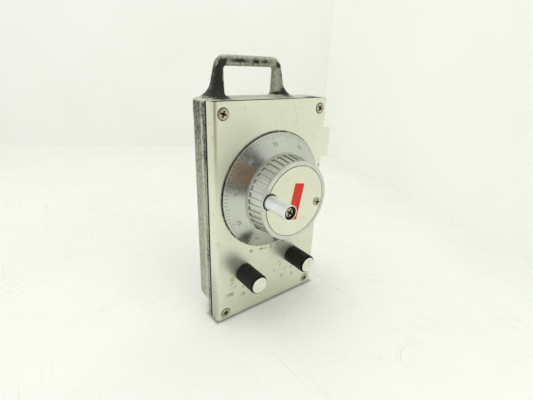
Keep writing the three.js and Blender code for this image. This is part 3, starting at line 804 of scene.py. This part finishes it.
def field_mesh(field, low, high, pitch):
    """The zero surface of a field, as quads: one point for each grid cell that it crosses."""
    axes = [np.arange(low[i] - 2 * pitch, high[i] + 2 * pitch, pitch) for i in range(3)]
    grid = np.stack(np.meshgrid(*axes, indexing="ij"), axis=-1)
    inside = field(grid) < 0
    cells = np.zeros([n - 1 for n in inside.shape], int)
    for corner in itertools.product((0, 1), repeat=3):
        cells += inside[tuple(slice(d, d + n) for d, n in zip(corner, cells.shape))]
    active = (cells > 0) & (cells < 8)
    index = np.full(active.shape, -1)
    index[active] = np.arange(active.sum())
    points = grid[:-1, :-1, :-1][active] + pitch / 2
    for _ in range(6):
        value, slope = field(points), gradient(field, points)
        size = np.maximum((slope**2).sum(-1), 0.25)
        points = points - (np.clip(value, -pitch, pitch) / size)[:, None] * slope
    faces = []
    for axis in range(3):
        turn = np.moveaxis(inside, axis, 0)
        ids = np.moveaxis(index, axis, 0)
        change = turn[1:, 1:-1, 1:-1] != turn[:-1, 1:-1, 1:-1]
        outwards = turn[:-1, 1:-1, 1:-1][change]
        quads = [ids[:, a : a + change.shape[1], b : b + change.shape[2]][change]
                 for a, b in ((0, 0), (1, 0), (1, 1), (0, 1))]
        quads = np.stack(quads, axis=-1)
        flip = outwards if axis != 1 else ~outwards
        quads[~flip] = quads[~flip][:, ::-1]
        faces.append(quads)
    faces = np.concatenate(faces)
    mesh = bpy.data.meshes.new("field")
    mesh.from_pydata(points.tolist(), [], faces.tolist())
    return mesh, points


def near(p, centre, reach):
    """1 at a centre, falling smoothly to 0 at a distance."""
    distance = np.linalg.norm((p - np.array(centre)) / np.array(reach), axis=-1)
    return np.clip(1 - distance, 0, 1) ** 2 * (3 - 2 * np.clip(1 - distance, 0, 1))


def wear_maps(p):
    """Paint left at each point, how far it stands out on an edge, and how pale the metal is."""
    around = sum(case_field(p + d * 1.4) for d in np.vstack([np.eye(3), -np.eye(3)]))
    curve = (around - 6 * case_field(p)) / 1.4**2
    edge = np.clip(curve * 2.0, 0, 1)
    x, y, z = p[..., 0], p[..., 1], p[..., 2]
    height = np.clip(z / HEIGHT, 0, 1)
    paint = 0.18 + 0.35 * np.clip((height - 0.66) / 0.34, 0, 1)
    on_band = (y > BAND_FRONT - 1) & (y < BODY_FRONT) & (z < HEIGHT - 1.5)
    bare_patch = np.exp(-(((height - 0.58) / 0.07) ** 2))
    band_paint = 0.38 - 0.20 * bare_patch + 0.16 * np.clip((height - 0.68) / 0.12, 0, 1)
    paint = np.where(on_band, band_paint, paint)
    on_back = np.clip((y - CASE_BACK + 0.8) / 0.6, 0, 1)
    back_paint = 0.36 + 0.36 * near(p, (0, CASE_BACK, HEIGHT * 0.52), (HALF_WIDTH * 1.7, 9, HEIGHT * 0.90))
    paint = paint * (1 - on_back) + on_back * back_paint
    on_top = (z > HEIGHT - 1.2) & (z < HEIGHT + 2)
    paint = np.where(on_top, 0.08, paint)
    on_handle = np.clip((z - HEIGHT - 1) / 5, 0, 1)
    paint = paint * (1 - on_handle) + on_handle * 0.20
    flank = np.clip((HANDLE_X - 30.5 - x) / 2, 0, 1) * on_handle
    paint = paint + 0.30 * flank
    front = HANDLE_Y - 5
    worn = (
        (0.95, (HANDLE_X - 29.5, front, 208), (9.5, 8.5, 34)),
        (0.75, (HANDLE_X - 27, front, 226), (7, 8, 7)),
        (-0.45, (HANDLE_X - 27.0, front, 215), (3, 6, 4)),
        (0.60, (HANDLE_X - 12, front, 228), (11, 6, 3.6)),
        (0.50, (HANDLE_X + 4, front, 227.5), (7, 6, 3.4)),
        (0.50, (HANDLE_X + 14, front, 227.5), (7, 6, 3)),
        (0.75, (HANDLE_X + 29, front, 226), (8, 8, 5)),
        (0.75, (HANDLE_X + 33, front, 219), (5, 12, 9)),
        (0.90, (HANDLE_X + 34, front, 204), (7, 12, 7)),
        (0.45, (HANDLE_X + 26, front, 203), (5, 8, 3)),
        (0.65, (HANDLE_X - 33, front, HEIGHT + 1), (20, 13, 7)),
        (0.90, (HALF_WIDTH - 12, STEP_FRONT + 3, HEIGHT), (11, 7, 3)),
        (0.45, (HANDLE_X + 34, STEP_FRONT + 4, HEIGHT), (9, 8, 3)),
        (0.60, (-HALF_WIDTH + 16, STEP_FRONT + 3, HEIGHT), (12, 7, 3)),
    )
    for amount, centre, reach in worn:
        paint = paint + amount * near(p, centre, reach)
    tone = 0.66 - 0.26 * np.clip((height - 0.5) / 0.5, 0, 1)
    tone = np.where(on_top, 0.97, tone) * (1 - on_handle) + 0.19 * on_handle
    tone = tone + on_handle * np.clip((z - HANDLE_TOP + 1.8) / 1.5, 0, 1) * 0.24
    tone = tone + on_handle * 0.16 * (x > HANDLE_X + 20)
    tone = tone - 0.55 * near(p, (HANDLE_X + 32, STEP_FRONT + 8, HEIGHT), (17, 13, 7))
    # Faces behind the cover and in the gaps beside it keep all their paint, fully dark: unworn paint under
    # the cover, and painted shade in the gaps.
    covered = (y < BAND_FRONT + 0.4) & ((z < HEIGHT - 0.4) | (y < STEP_FRONT + 0.25))
    paint = np.where(covered, 1.0, paint)
    edge = np.where(covered, 0.0, edge)
    return np.clip(paint, 0, 1), edge, np.clip(tone, 0, 1)


def build_case():
    low, high, pitch = (-HALF_WIDTH, FACE + 2.5, -0.5), (HALF_WIDTH, CASE_BACK, HANDLE_TOP), 0.95
    mesh, points = field_mesh(solid_field, low, high, pitch)
    for name, values in zip(("paint", "edge", "tone"), wear_maps(points)):
        store(mesh, name, values.astype(np.float32))
    piece("case_casting", mesh, "cast", "root", ["rear_housing"], 75, False)


# ---- Front cover ----

LUG_REACH = COVER_HIGH.x
LUG_LOW, LUG_HIGH = 144.4, 172.6


def cover_mesh():
    """A folded sheet: its front, a bend and a short side at each long edge, and a lug on the right."""
    half, inner = HALF_WIDTH, HALF_WIDTH - SHEET
    back = COVER_BACK
    outer = [(half, back, 0.3), (half, FACE, BEND), (-half, FACE, BEND), (-half, back, 0.3)]
    inside = [(-inner, back, 0.3), (-inner, FACE + SHEET, BEND - SHEET)]
    inside += [(-x, y, r) for x, y, r in reversed(inside)]
    outline = softened([*outer[2:], *inside, *outer[:2]][::-1], 8, closed=True)
    sheet = upright_prism(outline, FOOT_GAP, COVER_HIGH.z)
    relief = block((half - BEND, FACE - 1, LUG_LOW - 1.2), (half + 2, back + 1, LUG_HIGH + 1.2))
    sheet = combined(sheet, relief)
    root = half - BEND - 1
    lug = [(root, LUG_LOW, 0), (LUG_REACH, LUG_LOW, 0.8), (LUG_REACH, LUG_HIGH, 0.8), (root, LUG_HIGH, 0)]
    sheet = combined(sheet, prism(softened(lug, closed=True), FACE, FACE + SHEET), "UNION")
    tools = [pin(9, FACE - 1, FACE + 4, 48, WHEEL)]
    for word in ("left", "right"):
        tools.append(pin(4.6, FACE - 1, FACE + 4, 32, middle(f"selector_knob_{word}")))
    tools += [sink(5.0, 2.7, 0.2, 2.4, 40, middle(f"cover_screw_{i}")) for i in range(1, 5)]
    tools += [sink(3.0, 1.6, 0.25, 1.65, 24, middle(f"encoder_screw_{i}")) for i in range(1, 4)]
    sheet = combined(sheet, joined(tools))
    return bevelled(sheet, 0.22, 50)


def build_cover():
    piece("cover_sheet_metal", cover_mesh(), "cover", "root", ["front_cover"])


# ---- Printed marks on the cover ----


def text_mesh(words, thick, bold):
    """Generic numbers as a flat solid, centred, in x and y with the thickness in z."""
    curve = bpy.data.curves.new("number", "FONT")
    curve.body = words
    curve.size = NUMBER_SIZE
    curve.extrude = thick / 2
    curve.offset = bold
    curve.resolution_u = 3
    curve.align_x = "CENTER"
    curve.align_y = "CENTER"
    return evaluated(placed("number", curve))


NUMBER_SIZE = 5.4  # of the type on the cover and on the dial
PRINT = 0.03  # how far the ink stands off the sheet


def print_text(words, x, z):
    matrix = Matrix.Translation((x, FACE, z)) @ Matrix.Rotation(math.radians(90), 4, "X")
    return moved(text_mesh(words, 2 * PRINT, 0.08), matrix)


def print_stroke(points, thick):
    """A line of ink through (x, z) points."""
    outline_a, outline_b = [], []
    for i, (x, z) in enumerate(points):
        before = points[max(i - 1, 0)]
        after = points[min(i + 1, len(points) - 1)]
        along = Vector((after[0] - before[0], after[1] - before[1])).normalized()
        side = Vector((-along.y, along.x)) * thick / 2
        outline_a.append((x + side.x, z + side.y))
        outline_b.append((x - side.x, z - side.y))
    return prism(outline_a + outline_b[::-1], FACE - PRINT, FACE + PRINT)


def arc_points(radius, start, stop, count=8):
    angles = [math.radians(start + (stop - start) * i / count) for i in range(count + 1)]
    return [polar(WHEEL, radius, a) for a in angles]


def print_arc_arrow(start, stop):
    """An arrow bent round the dial, from one angle to another."""
    ring, barb = 57.6, 1.2
    back = math.copysign(2.2, start - stop)
    marks = [print_stroke(arc_points(ring, start, stop), 0.6)]
    tip = arc_points(ring, stop, stop, 1)[0]
    for side in (-barb, barb):
        end = arc_points(ring + side, stop + back, stop + back, 1)[0]
        marks.append(print_stroke([end, tip], 0.6))
    return marks


def build_marks():
    """Turning arrows and signs under the dial, and the selectors' numbers and ticks."""
    marks = print_arc_arrow(-94.5, -103.0) + print_arc_arrow(-83.5, -73.0)
    marks.append(print_stroke([(0.4, 61.4), (0.4, 66.2)], 0.75))
    for x, z in ((-22.7, 65.6), (22.9, 66.6)):
        marks.append(print_stroke([(x - 2.2, z), (x + 2.2, z)], 0.65))
    marks.append(print_stroke([(-22.7, 63.4), (-22.7, 67.8)], 0.65))
    ring = 25.0  # how far the numbers stand from a knob's axis
    legends = (
        ("left", (("100", 233), ("10", 268), ("1", 303)), (213, 233, 268, 303)),
        ("right", (("1", 210), ("2", 242), ("3", 275)), (196, 210, 242, 275)),
    )
    for word, numbers, ticks in legends:
        knob = middle(f"selector_knob_{word}")
        for digits, degrees in numbers:
            marks.append(print_text(digits, *polar(knob, ring, math.radians(degrees))))
        for degrees in ticks:
            ends = [polar(knob, r, math.radians(degrees)) for r in (14.5, 18.0)]
            marks.append(print_stroke(ends, 0.6))
    piece("cover_print", joined(marks), "ink", "root", (), 30, False)


# ---- Screws, feet and gland ----


def screw_mesh(profile, span, slot, turn, at):
    """A cross-head screw along Y, from the profile of its solid."""
    top = profile[0][1]
    tool = cross_tool(span, slot, top, span * 0.42)
    moved(tool, Matrix.Rotation(math.radians(turn), 4, "Y"))
    screw = combined(turned(profile, 56), tool)
    return moved(screw, Matrix.Translation((at.x, 0, at.z)))


def in_recess(at, top, span, ring=None):
    """Tells which faces of a screw take the black fill: the sides of its cross, and its rim beyond a
    radius, as painted shade.
    """

    def shade_filled(centre):
        reach = math.hypot(centre.x - at.x, centre.z - at.z)
        if ring and reach > ring:
            return True
        return reach < span / 2 and top + 0.22 < centre.y < top + span * 0.43

    return shade_filled


def build_screws():
    chance = random.Random(5)
    head, radius, span = 4.45, 2.5, 5.4
    for i in range(1, 5):
        at = middle(f"cover_screw_{i}")
        end = extent(f"cover_screw_{i}")[1].y
        top = FACE - 0.42
        profile = [
            (0, top, 0), (head * 0.62, top + 0.14, 0.6), (head - 0.25, FACE + 0.08, 0.1),
            (head, FACE + 0.3, 0.1), (radius, FACE + head - radius + 0.3, 0.2), (radius, end, 0.3),
            (0, end, 0),
        ]
        mesh = screw_mesh(profile, span, 1.5, chance.uniform(-40, 40), at)
        shade_filled = in_recess(at, top, span, head - 0.3)
        piece(f"corner_screw_{i}", mesh, "zinc", "root", [f"cover_screw_{i}"], shade_filled=shade_filled)
    for i in range(1, 5):
        low, high = extent(f"foot_{i}")
        at = (low + high) / 2
        profile = [
            (0, low.y, 0), (1.9, low.y, 0.3), (1.9, CASE_BACK, 0.1), (4.8, CASE_BACK, 0.2),
            (4.5, high.y, 1.2), (1.6, high.y, 0.2), (1.4, high.y - 0.8, 0.2), (0, high.y - 0.8, 0),
        ]
        mesh = turned(profile, 40, at)
        piece(f"rubber_foot_{i}", mesh, "rubber", "root", [f"foot_{i}"])


def build_seals():
    """Rubber beads in the gap between the cover's sides and the case's band, filled out nearly to the
    surface so the gap shows black as painted shade.
    """
    low, high = COVER_BACK + 0.05, BAND_FRONT - 0.05
    for word, side in (("left", -1), ("right", 1)):
        rim = side * (HALF_WIDTH - 0.35)
        root = side * (HALF_WIDTH - SHEET - 0.25)
        section = [(root, low, 0.2), (rim, low, 0.5), (rim, high, 0.5), (root, high, 0.2)]
        mesh = upright_prism(softened(section, closed=True), FOOT_GAP, HEIGHT - 1.0)
        piece(f"gap_seal_{word}", mesh, "rubber", "root", [f"side_seal_{word}"])


def build_gland():
    """A ribbed dome nut for the gland, upright under the deep part of the case."""
    low, high = extent("gland_nut")
    at = middle("gland_nut")
    outer = (high.x - low.x) / 2

    def ribs(radius, y, angle):
        return radius - 0.25 * (0.5 - 0.5 * math.cos(12 * angle)) ** 2 if radius > outer - 0.9 else radius

    profile = [
        (3.35, low.z, 0.3), (outer - 1.0, low.z, 0.9), (outer, low.z + 2.6, 0.4),
        (outer, high.z, 0.3), (4.5, high.z, 0.1), (4.5, high.z - 5.6, 0.2),
        (3.35, high.z - 7.8, 0.2),
    ]
    mesh = turned(profile, 96, ring=True, shape=ribs)
    moved(mesh, Matrix.Translation((at.x, at.y, 0)) @ Matrix.Rotation(math.radians(90), 4, "X"))
    piece("gland_dome_nut", mesh, "black", "root", ["gland_nut"])


# ---- Handwheel ----


def dial_y(radius):
    """The cone's surface at a radius."""
    share = (DIAL_RADIUS - radius) / (DIAL_RADIUS - DIAL_SEAT)
    return DIAL_EDGE + (DIAL_TOP - DIAL_EDGE) * share


def build_dial():
    profile = [
        (27, DIAL_TOP, 0), (DIAL_SEAT, DIAL_TOP, 0.4), (DIAL_RADIUS, DIAL_EDGE, 0.35),
        (DIAL_RADIUS, DIAL_EDGE + 1, 0.2), (DIAL_RADIUS - 1.6, DIAL_EDGE + 1, 0.2),
        (DIAL_SEAT - 0.6, DIAL_TOP + 2.2, 0.3), (27, DIAL_TOP + 2.2, 0),
    ]
    mesh = turned(profile, 240, WHEEL, ring=True)
    piece("dial_cone", mesh, "dial", "handwheel", ["graduated_dial"], 30)


def on_cone(reach, angle, lift):
    """The point at a radius and an angle, lifted off the cone."""
    x, z = polar(WHEEL, reach, angle)
    return x, dial_y(reach) - lift, z


ZERO_ANGLE = 25.0  # where the dial's 0 stands at rest, in degrees from +X towards +Z


def build_graduations():
    """A hundred engraved lines, longer at each five and ten, and their numbers."""
    lines = []
    lift, half, outer = 0.03, 0.25, DIAL_RADIUS - 0.7
    for i in range(100):
        angle = math.radians(ZERO_ANGLE + 3.6 * i)
        inner = 46.9 if i % 10 == 0 else 48.2 if i % 5 == 0 else 49.4
        corners = []
        for height in (lift, -0.1):
            for reach, side in ((inner, -1), (outer, -1), (outer, 1), (inner, 1)):
                corners.append(on_cone(reach, angle + side * half / reach, height))
        faces = [(0, 1, 2, 3), (7, 6, 5, 4), (0, 4, 5, 1), (1, 5, 6, 2), (2, 6, 7, 3), (3, 7, 4, 0)]
        lines.append(mesh_of(corners, faces))
    piece("dial_lines", joined(lines), "engraving", "handwheel", (), 30, False)
    numbers = []
    slope = math.hypot(DIAL_RADIUS - DIAL_SEAT, DIAL_EDGE - DIAL_TOP) / (DIAL_RADIUS - DIAL_SEAT)
    centre = 44.4  # the radius of the numbers' middle line
    for i in range(10):
        angle = math.radians(ZERO_ANGLE + 36 * i)
        mesh = text_mesh(str(10 * i), 2 * lift, 0.09)
        for vertex in mesh.vertices:
            u, v, w = vertex.co
            reach = centre + v / slope
            vertex.co = on_cone(reach, angle - u / centre, w)
        numbers.append(mesh)
    piece("dial_numbers", joined(numbers), "engraving", "handwheel", (), 30, False)


def drum_mesh():
    """The grip: a plain band at the dial, forty shallow pockets and a plain rim."""
    foot, wall = 0.205, 0.165  # where a pocket's side wall ends and starts, as shares of the pitch
    half = [0.0, 0.08, wall - 0.03, wall, foot, foot + 0.045, 0.33]
    shares = [*half, 0.5, *(1 - share for share in half[:0:-1])]
    base_y, front_y = DIAL_TOP, DRUM_FRONT
    back, front = base_y - 3.0, front_y + 3.0
    depth, ramp = 1.25, 0.25

    def outer_radius(y):
        return DRUM_BASE + (DRUM_RIM - DRUM_BASE) * clamp((back - y) / (back - front))

    def sunk(share):
        return clamp((min(share, 1 - share) - wall) / (foot - wall))

    ends = [base_y + 0.4, base_y, base_y - 1.5, back, back - ramp, back - ramp - 0.35]
    span = back - front - 2 * ramp - 0.7
    rows = [*ends, *(back - ramp - 0.35 - span * i / 6 for i in range(1, 6))]
    rows += [front + ramp + 0.35, front + ramp, front, front_y + 1.6, front_y + 0.6]
    lip = [
        (DRUM_RIM - 0.15, front_y + 0.18), (DRUM_RIM - 0.55, front_y), (31.25, front_y),
        (30.95, front_y + 0.3), (30.95, front_y + 1.5), (4.02, front_y + 1.5), (4.02, base_y + 7.9),
        (10.0, base_y + 7.9), (10.0, base_y + 2.0), (26.8, base_y + 2.0), (26.8, base_y + 0.4),
    ]
    count = FLUTES * len(shares)
    loops, dark_fill = [], []
    for y in rows:
        along = clamp((back - y) / ramp) * clamp((y - front) / ramp)
        loops.append([(outer_radius(y) - depth * along * sunk(share), y) for share in shares])
        # Painted shade: black along the feet of each pocket's side walls, and fully at the pocket's end by
        # the plain band.
        at_end = abs(y - back + ramp) < 0.01
        foot_shade = [0.7 * (foot <= min(s, 1 - s) < foot + 0.02) for s in shares]
        foot_shade = [1.0 if at_end and sunk(s) > 0.9 else value for s, value in zip(shares, foot_shade)]
        dark_fill.append([value if along > 0.9 else 0.0 for value in foot_shade])
    for radius, y in lip:
        loops.append([(radius, y)] * len(shares))
        dark_fill.append([0.0] * len(shares))
    vertices = []
    for loop in loops:
        for n in range(count):
            flute, share = divmod(n, len(shares))
            angle = (flute + shares[share]) * 2 * math.pi / FLUTES
            radius, y = loop[share]
            x, z = polar(WHEEL, radius, angle)
            vertices.append((x, y, z))
    faces = []
    for row in range(len(loops)):
        a, b = row * count, (row + 1) % len(loops) * count
        faces += [(a + i, a + (i + 1) % count, b + (i + 1) % count, b + i) for i in range(count)]
    mesh = mesh_of(vertices, faces)
    store(mesh, "dark_fill", [value for row in dark_fill for value in row * FLUTES])
    return mesh


def wheel_holes():
    """Tools for the holes of the crank stud and the disc screw."""
    return [
        pin(2.1, DRUM_FRONT - 1, DRUM_FRONT + DISC_THICK + deep, 24, at)
        for at, deep in ((CRANK, 12), (DISC_SCREW, 9))
    ]


def set_screw_matrix(reach):
    """From an axis along Y to the set screw's own, which points at the shaft."""
    at = middle("dial_set_screw")
    outward = Vector((at.x - WHEEL.x, 0, at.z - WHEEL.z)).normalized()
    turn = Vector((0, -1, 0)).rotation_difference(outward).to_matrix().to_4x4()
    return Matrix.Translation(Vector((WHEEL.x, at.y, WHEEL.z)) + outward * reach) @ turn


def build_drum():
    drum = drum_mesh()
    to_pit = set_screw_matrix(36)
    top, floor = -4, 9
    pit = moved(pin(SET_PIT, top, floor, 28), to_pit)
    drum = combined(drum, joined([*wheel_holes(), pit]))
    to_axis = to_pit.inverted()

    # The pit's walls take the black fill: painted shade in the hole.
    def in_pit(centre):
        place = to_axis @ centre
        return math.hypot(place.x, place.z) < SET_PIT + 0.05 and top + 0.1 < place.y < floor + 0.1

    piece("drum_grip", drum, "drum", "handwheel", ["handwheel_drum"], 34, shade_filled=in_pit)
    back = DRUM_FRONT + DISC_THICK
    disc = [(0, DRUM_FRONT, 0), (DISC_RADIUS, DRUM_FRONT, 0.25), (DISC_RADIUS, back, 0.1), (0, back, 0)]
    mesh = combined(turned(disc, 160, WHEEL), joined(wheel_holes()))
    piece("disc_plate", mesh, "disc", "handwheel", ["face_disc"], 30)
    outline = softened([(-5, -16, 0.5), (5, -16, 0.5), (5, 16, 0.5), (-5, 16, 0.5)], closed=True)
    label = prism(outline, DRUM_FRONT - 0.2, DRUM_FRONT - 0.02)
    turn = Matrix.Rotation(WHEEL_TURN, 4, "Y")
    moved(label, Matrix.Translation((WHEEL.x, 0, WHEEL.z)) @ turn)
    piece("label_film", label, "label", "handwheel", ["disc_label"], 30, False)


def build_wheel_screws():
    top = DRUM_FRONT - 1.4
    head = [
        (0, top, 0), (2.6, top + 0.12, 0.5), (4.0, top + 0.9, 0.4), (4.0, DRUM_FRONT, 0.1),
        (2.0, DRUM_FRONT, 0), (2.0, DRUM_FRONT + 8, 0.3), (0, DRUM_FRONT + 8, 0),
    ]
    mesh = screw_mesh(head, 4.8, 1.3, 12, DISC_SCREW)
    shade_filled = in_recess(DISC_SCREW, top, 4.8)
    piece("disc_cross_screw", mesh, "zinc", "handwheel", ["disc_screw"], shade_filled=shade_filled)
    end = CRANK_END + 0.9
    stud = [
        (0, end, 0), (2.8, end + 0.1, 0.4), (3.9, end + 0.6, 0.3), (3.9, end + 2.0, 0.1),
        (2.2, end + 2.0, 0), (2.2, DRUM_FRONT - 0.3, 0), (3.4, DRUM_FRONT - 0.3, 0.1),
        (3.4, DRUM_FRONT, 0.1), (2.0, DRUM_FRONT, 0), (2.0, DRUM_FRONT + 11, 0.3),
        (0, DRUM_FRONT + 11, 0),
    ]
    mesh = screw_mesh(stud, 5.4, 1.5, 35, CRANK)
    shade_filled = in_recess(CRANK, end, 5.4)
    piece("crank_cross_stud", mesh, "zinc", "handwheel", ["crank_stud"], shade_filled=shade_filled)
    # A black washer under the sleeve, which also paints the shadow in the gap round the sleeve's foot.
    washer = [
        (3.6, DRUM_FRONT - 0.36, 0.05), (7.0, DRUM_FRONT - 0.36, 0.1),
        (7.0, DRUM_FRONT - 0.02, 0.05), (3.6, DRUM_FRONT - 0.02, 0.05),
    ]
    mesh = turned(washer, 80, CRANK, ring=True)
    piece("crank_washer_shadow", mesh, "black", "handwheel")
    grub = [(0, -1.2, 0), (1.5, -1.2, 0.2), (1.5, 3.6, 0.2), (0, 3.6, 0)]
    socket = prism([polar(ORIGIN, 0.8, math.radians(60 * i)) for i in range(6)], -2, 0.6)
    mesh = moved(combined(turned(grub, 28), socket), set_screw_matrix(33.0))
    piece("set_grub_screw", mesh, "black", "handwheel", ["dial_set_screw"])


def build_spinner():
    back = extent("spinner_sleeve")[1].y
    radius = (extent("spinner_sleeve")[1].x - extent("spinner_sleeve")[0].x) / 2
    sleeve = [(5.3, back, 0.1), (radius, back, 0.35), (radius, CRANK_END, 0.4), (5.3, CRANK_END, 0.2)]
    mesh = turned(sleeve, 96, CRANK, ring=True)
    piece("spinner_tube", mesh, "spinner", "spinner", ["spinner_sleeve"], 30)
    bush = [
        (2.35, back, 0.1), (5.2, back, 0.1), (5.2, CRANK_END + 0.2, 0.2),
        (4.15, CRANK_END + 0.5, 0.3), (4.15, CRANK_END + 3.2, 0.1), (2.35, CRANK_END + 3.2, 0.1),
    ]
    mesh = turned(bush, 64, CRANK, ring=True)
    piece("spinner_liner", mesh, "black", "spinner", ["spinner_bush"], 30)


# ---- Selector knobs ----

KNOB_RIBS = 36


def build_selector(word):
    low, high = extent(f"selector_knob_{word}")
    at = (low + high) / 2
    body = f"selector_{word}"
    radius = (high.z - low.z) / 2
    cap_low, cap_high = extent(f"knob_cap_{word}")
    cap_radius = (cap_high.z - cap_low.z) / 2
    spigot = 6.7
    grip_end = high.y - 1.5

    def ribs(reach, y, angle):
        if reach < radius - 0.5 or y > grip_end or y < low.y + 1:
            return reach
        fade = clamp((grip_end - y) / 0.6)
        return reach - 0.22 * fade * (0.5 - 0.5 * math.cos(KNOB_RIBS * angle)) ** 1.5

    profile = [
        (spigot + 0.05, cap_high.y + 0.1, 0), (spigot + 0.05, low.y, 0), (radius - 0.3, low.y, 0.1),
        (radius, low.y + 0.3, 0.2), (radius, low.y + 2.2, 0.2), (radius, low.y + 12, 0),
        (radius, grip_end - 0.6, 0.2), (radius, grip_end, 0.2), (radius, high.y, 0.3),
        (7.1, high.y, 0.2), (7.1, high.y - 2.6, 0.2), (3.03, high.y - 2.6, 0.1),
        (3.03, low.y + 4.9, 0.1), (3.03, cap_high.y + 0.1, 0),
    ]
    knob = turned(profile, KNOB_RIBS * 8, at, ring=True, shape=ribs)
    grub = middle(f"knob_grub_screw_{word}")
    place = Matrix.Translation((grub.x, grub.y, at.z)) @ Matrix.Rotation(math.radians(-90), 4, "X")
    knob = combined(knob, moved(pin(1.65, -12, -2.5, 28), place))
    piece(f"knob_grip_{word}", knob, "knob", body, [f"selector_knob_{word}"], 32)
    chamfer = 0.85

    # The cap's chamfered rim takes the black fill: painted shade round the cap.
    def on_rim(centre):
        return math.hypot(centre.x - at.x, centre.z - at.z) > cap_radius - chamfer

    cap = [
        (0, cap_low.y, 0), (cap_radius * 0.6, cap_low.y + 0.03, 0),
        (cap_radius - chamfer, cap_low.y + 0.08, 0), (cap_radius, cap_low.y + 0.7, 0.2),
        (cap_radius, low.y - 0.03, 0.05), (spigot, low.y - 0.03, 0), (spigot, cap_high.y, 0.1),
        (0, cap_high.y, 0),
    ]
    look = f"cap_metal_{word}"
    LOOKS[look] = turned_look(look, (0.82, 0.83, 0.72), 0.42, at, dirt=0.08, metallic=0.75)
    mesh = turned(cap, 96, at)
    piece(f"cap_disc_{word}", mesh, look, body, [f"knob_cap_{word}"], 30, shade_filled=on_rim)


# ---- CAD nodes that stay as they are ----

KEPT = {
    "rubber": ["cover_gasket", "gland_seal"],
    "black": ["gland_body", "reader_block", "terminal_block", "switch_body_left", "switch_body_right"],
    "brass": ["gland_locknut", "code_disc_hub", "switch_rotor_left", "switch_rotor_right"],
    "aluminium": ["encoder_case", "encoder_cap"],
    "steel": [
        "front_bearing", "rear_bearing", "detent_ring", "detent_wheel", "main_shaft",
        "encoder_screw_1", "encoder_screw_2", "encoder_screw_3", "panel_nut_left",
        "panel_nut_right", "knob_grub_screw_left", "knob_grub_screw_right",
    ],
    "board": ["encoder_board", "switch_wafer_left", "switch_wafer_right"],
    "glass": ["code_disc"],
}


def dress_kept_nodes():
    for look, names in KEPT.items():
        for name in names:
            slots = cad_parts[name].data.materials
            slots.clear()
            slots.append(LOOKS[look].material)


# ---- Stage, light and camera ----


def stage_mesh(name, vertices, faces, look):
    mesh = bpy.data.meshes.new(name)
    mesh.from_pydata(vertices, [], faces)
    mesh.transform(Matrix.Scale(MM, 4))
    mesh.materials.append(look)
    obj = placed(name, mesh)
    return obj


def build_floor():
    """A pale table with two pale boards standing at its far corner."""
    reach, rise = 3000.0, 900.0
    table = [(-reach, -reach, 0), (reach, -reach, 0), (reach, reach, 0), (-reach, reach, 0)]
    stage_mesh("floor", table, [(0, 1, 2, 3)], floor_look().material)
    corner = Vector((540.0, 445.0, 0))
    for name, along, length, shade in (
        ("left_board", (-0.845, 0.535), 1500, 1.0), ("right_board", (-0.34, -0.94), 900, 1.06),
    ):
        step = Vector((*along, 0)) * length
        foot = [corner, corner + step]
        top = [p + Vector((0, 0, rise)) for p in foot]
        stage_mesh(name, [*foot, *top[::-1]], [(0, 1, 2, 3)], wall_look(name, shade).material)


def add_card(name, corners, color):
    """A dark thing in front of the pendant, seen only in what the metal reflects."""
    look = Look(name, color, 0.9)
    cloud = look.noise(60.0, 2.0)
    look.drive("Base Color", look.blend(look.spread(cloud, 0.35, 0.65), color, [c * 1.5 for c in color]))
    card = stage_mesh(name, corners, [range(len(corners))], look.material)
    card.visible_camera = False
    card.visible_shadow = False
    card.visible_diffuse = False


def add_lamp(name, place, aim, size, power, color=(1, 1, 1)):
    lamp = bpy.data.lights.new(name, "AREA")
    lamp.shape = "RECTANGLE"
    lamp.size, lamp.size_y = size
    lamp.energy = power
    lamp.color = color
    obj = placed(name, lamp)
    obj.location = place
    obj.rotation_euler = (Vector(aim) - Vector(place)).to_track_quat("-Z", "Y").to_euler()
    obj.visible_glossy = False


def build_light():
    world = bpy.data.worlds.new("studio")
    bpy.context.scene.world = world
    world.use_nodes = True
    sky = world.node_tree.nodes["Background"]
    sky.inputs["Color"].default_value = (1.0, 1.005, 0.975, 1)
    sky.inputs["Strength"].default_value = 0.86
    add_lamp("key", (-0.30, 0.15, 1.3), (0.02, -0.02, 0.05), (0.7, 0.7), 3.2, (1.0, 0.99, 0.96))
    add_lamp("fill", (0.3, -1.1, 0.9), (0, 0, 0.1), (0.9, 0.9), 2.4)
    card_y, half_width = -226, 75
    for name, start, end, color in (
        ("camera_body", (6, 300), (-80, 254), (0.012, 0.013, 0.014)),
        ("hand", (-80, 254), (-147, 150), (0.17, 0.075, 0.022)),
        ("cuff", (-147, 150), (-162, 84), (0.02, 0.02, 0.014)),
    ):
        start, end = Vector(start), Vector(end)
        along = (end - start).normalized()
        side = Vector((along.y, -along.x)) * half_width
        corners = [start + side, end + side, end - side, start - side]
        add_card(name, [(x, card_y, z) for x, z in corners], color)


def build_camera():
    yaw, pitch, roll = (math.radians(a) for a in (-37.95, -22.21, -2.25))
    turn = Matrix.Rotation(yaw, 3, "Z") @ Matrix.Rotation(pitch, 3, "X") @ Matrix.Rotation(roll, 3, "Y")
    right, forward, up = (turn.col[i] for i in range(3))
    camera = bpy.data.cameras.new("camera")
    camera.sensor_width = 36.0
    camera.lens = 22.57
    camera.clip_start = 0.01
    camera.clip_end = 20
    obj = placed("camera", camera)
    place = Matrix.Translation((-0.17778, -0.22786, 0.22666))
    obj.matrix_world = place @ Matrix((right, up, -forward)).transposed().to_4x4()
    bpy.context.scene.camera = obj


build_camera()
build_floor()
build_light()
bpy.context.scene.view_settings.view_transform = "Standard"  # no film curve over the colours

build_case()
build_cover()
build_marks()
build_screws()
build_seals()
build_gland()
build_dial()
build_graduations()
build_drum()
build_wheel_screws()
build_spinner()
for word in ("left", "right"):
    build_selector(word)
dress_kept_nodes()
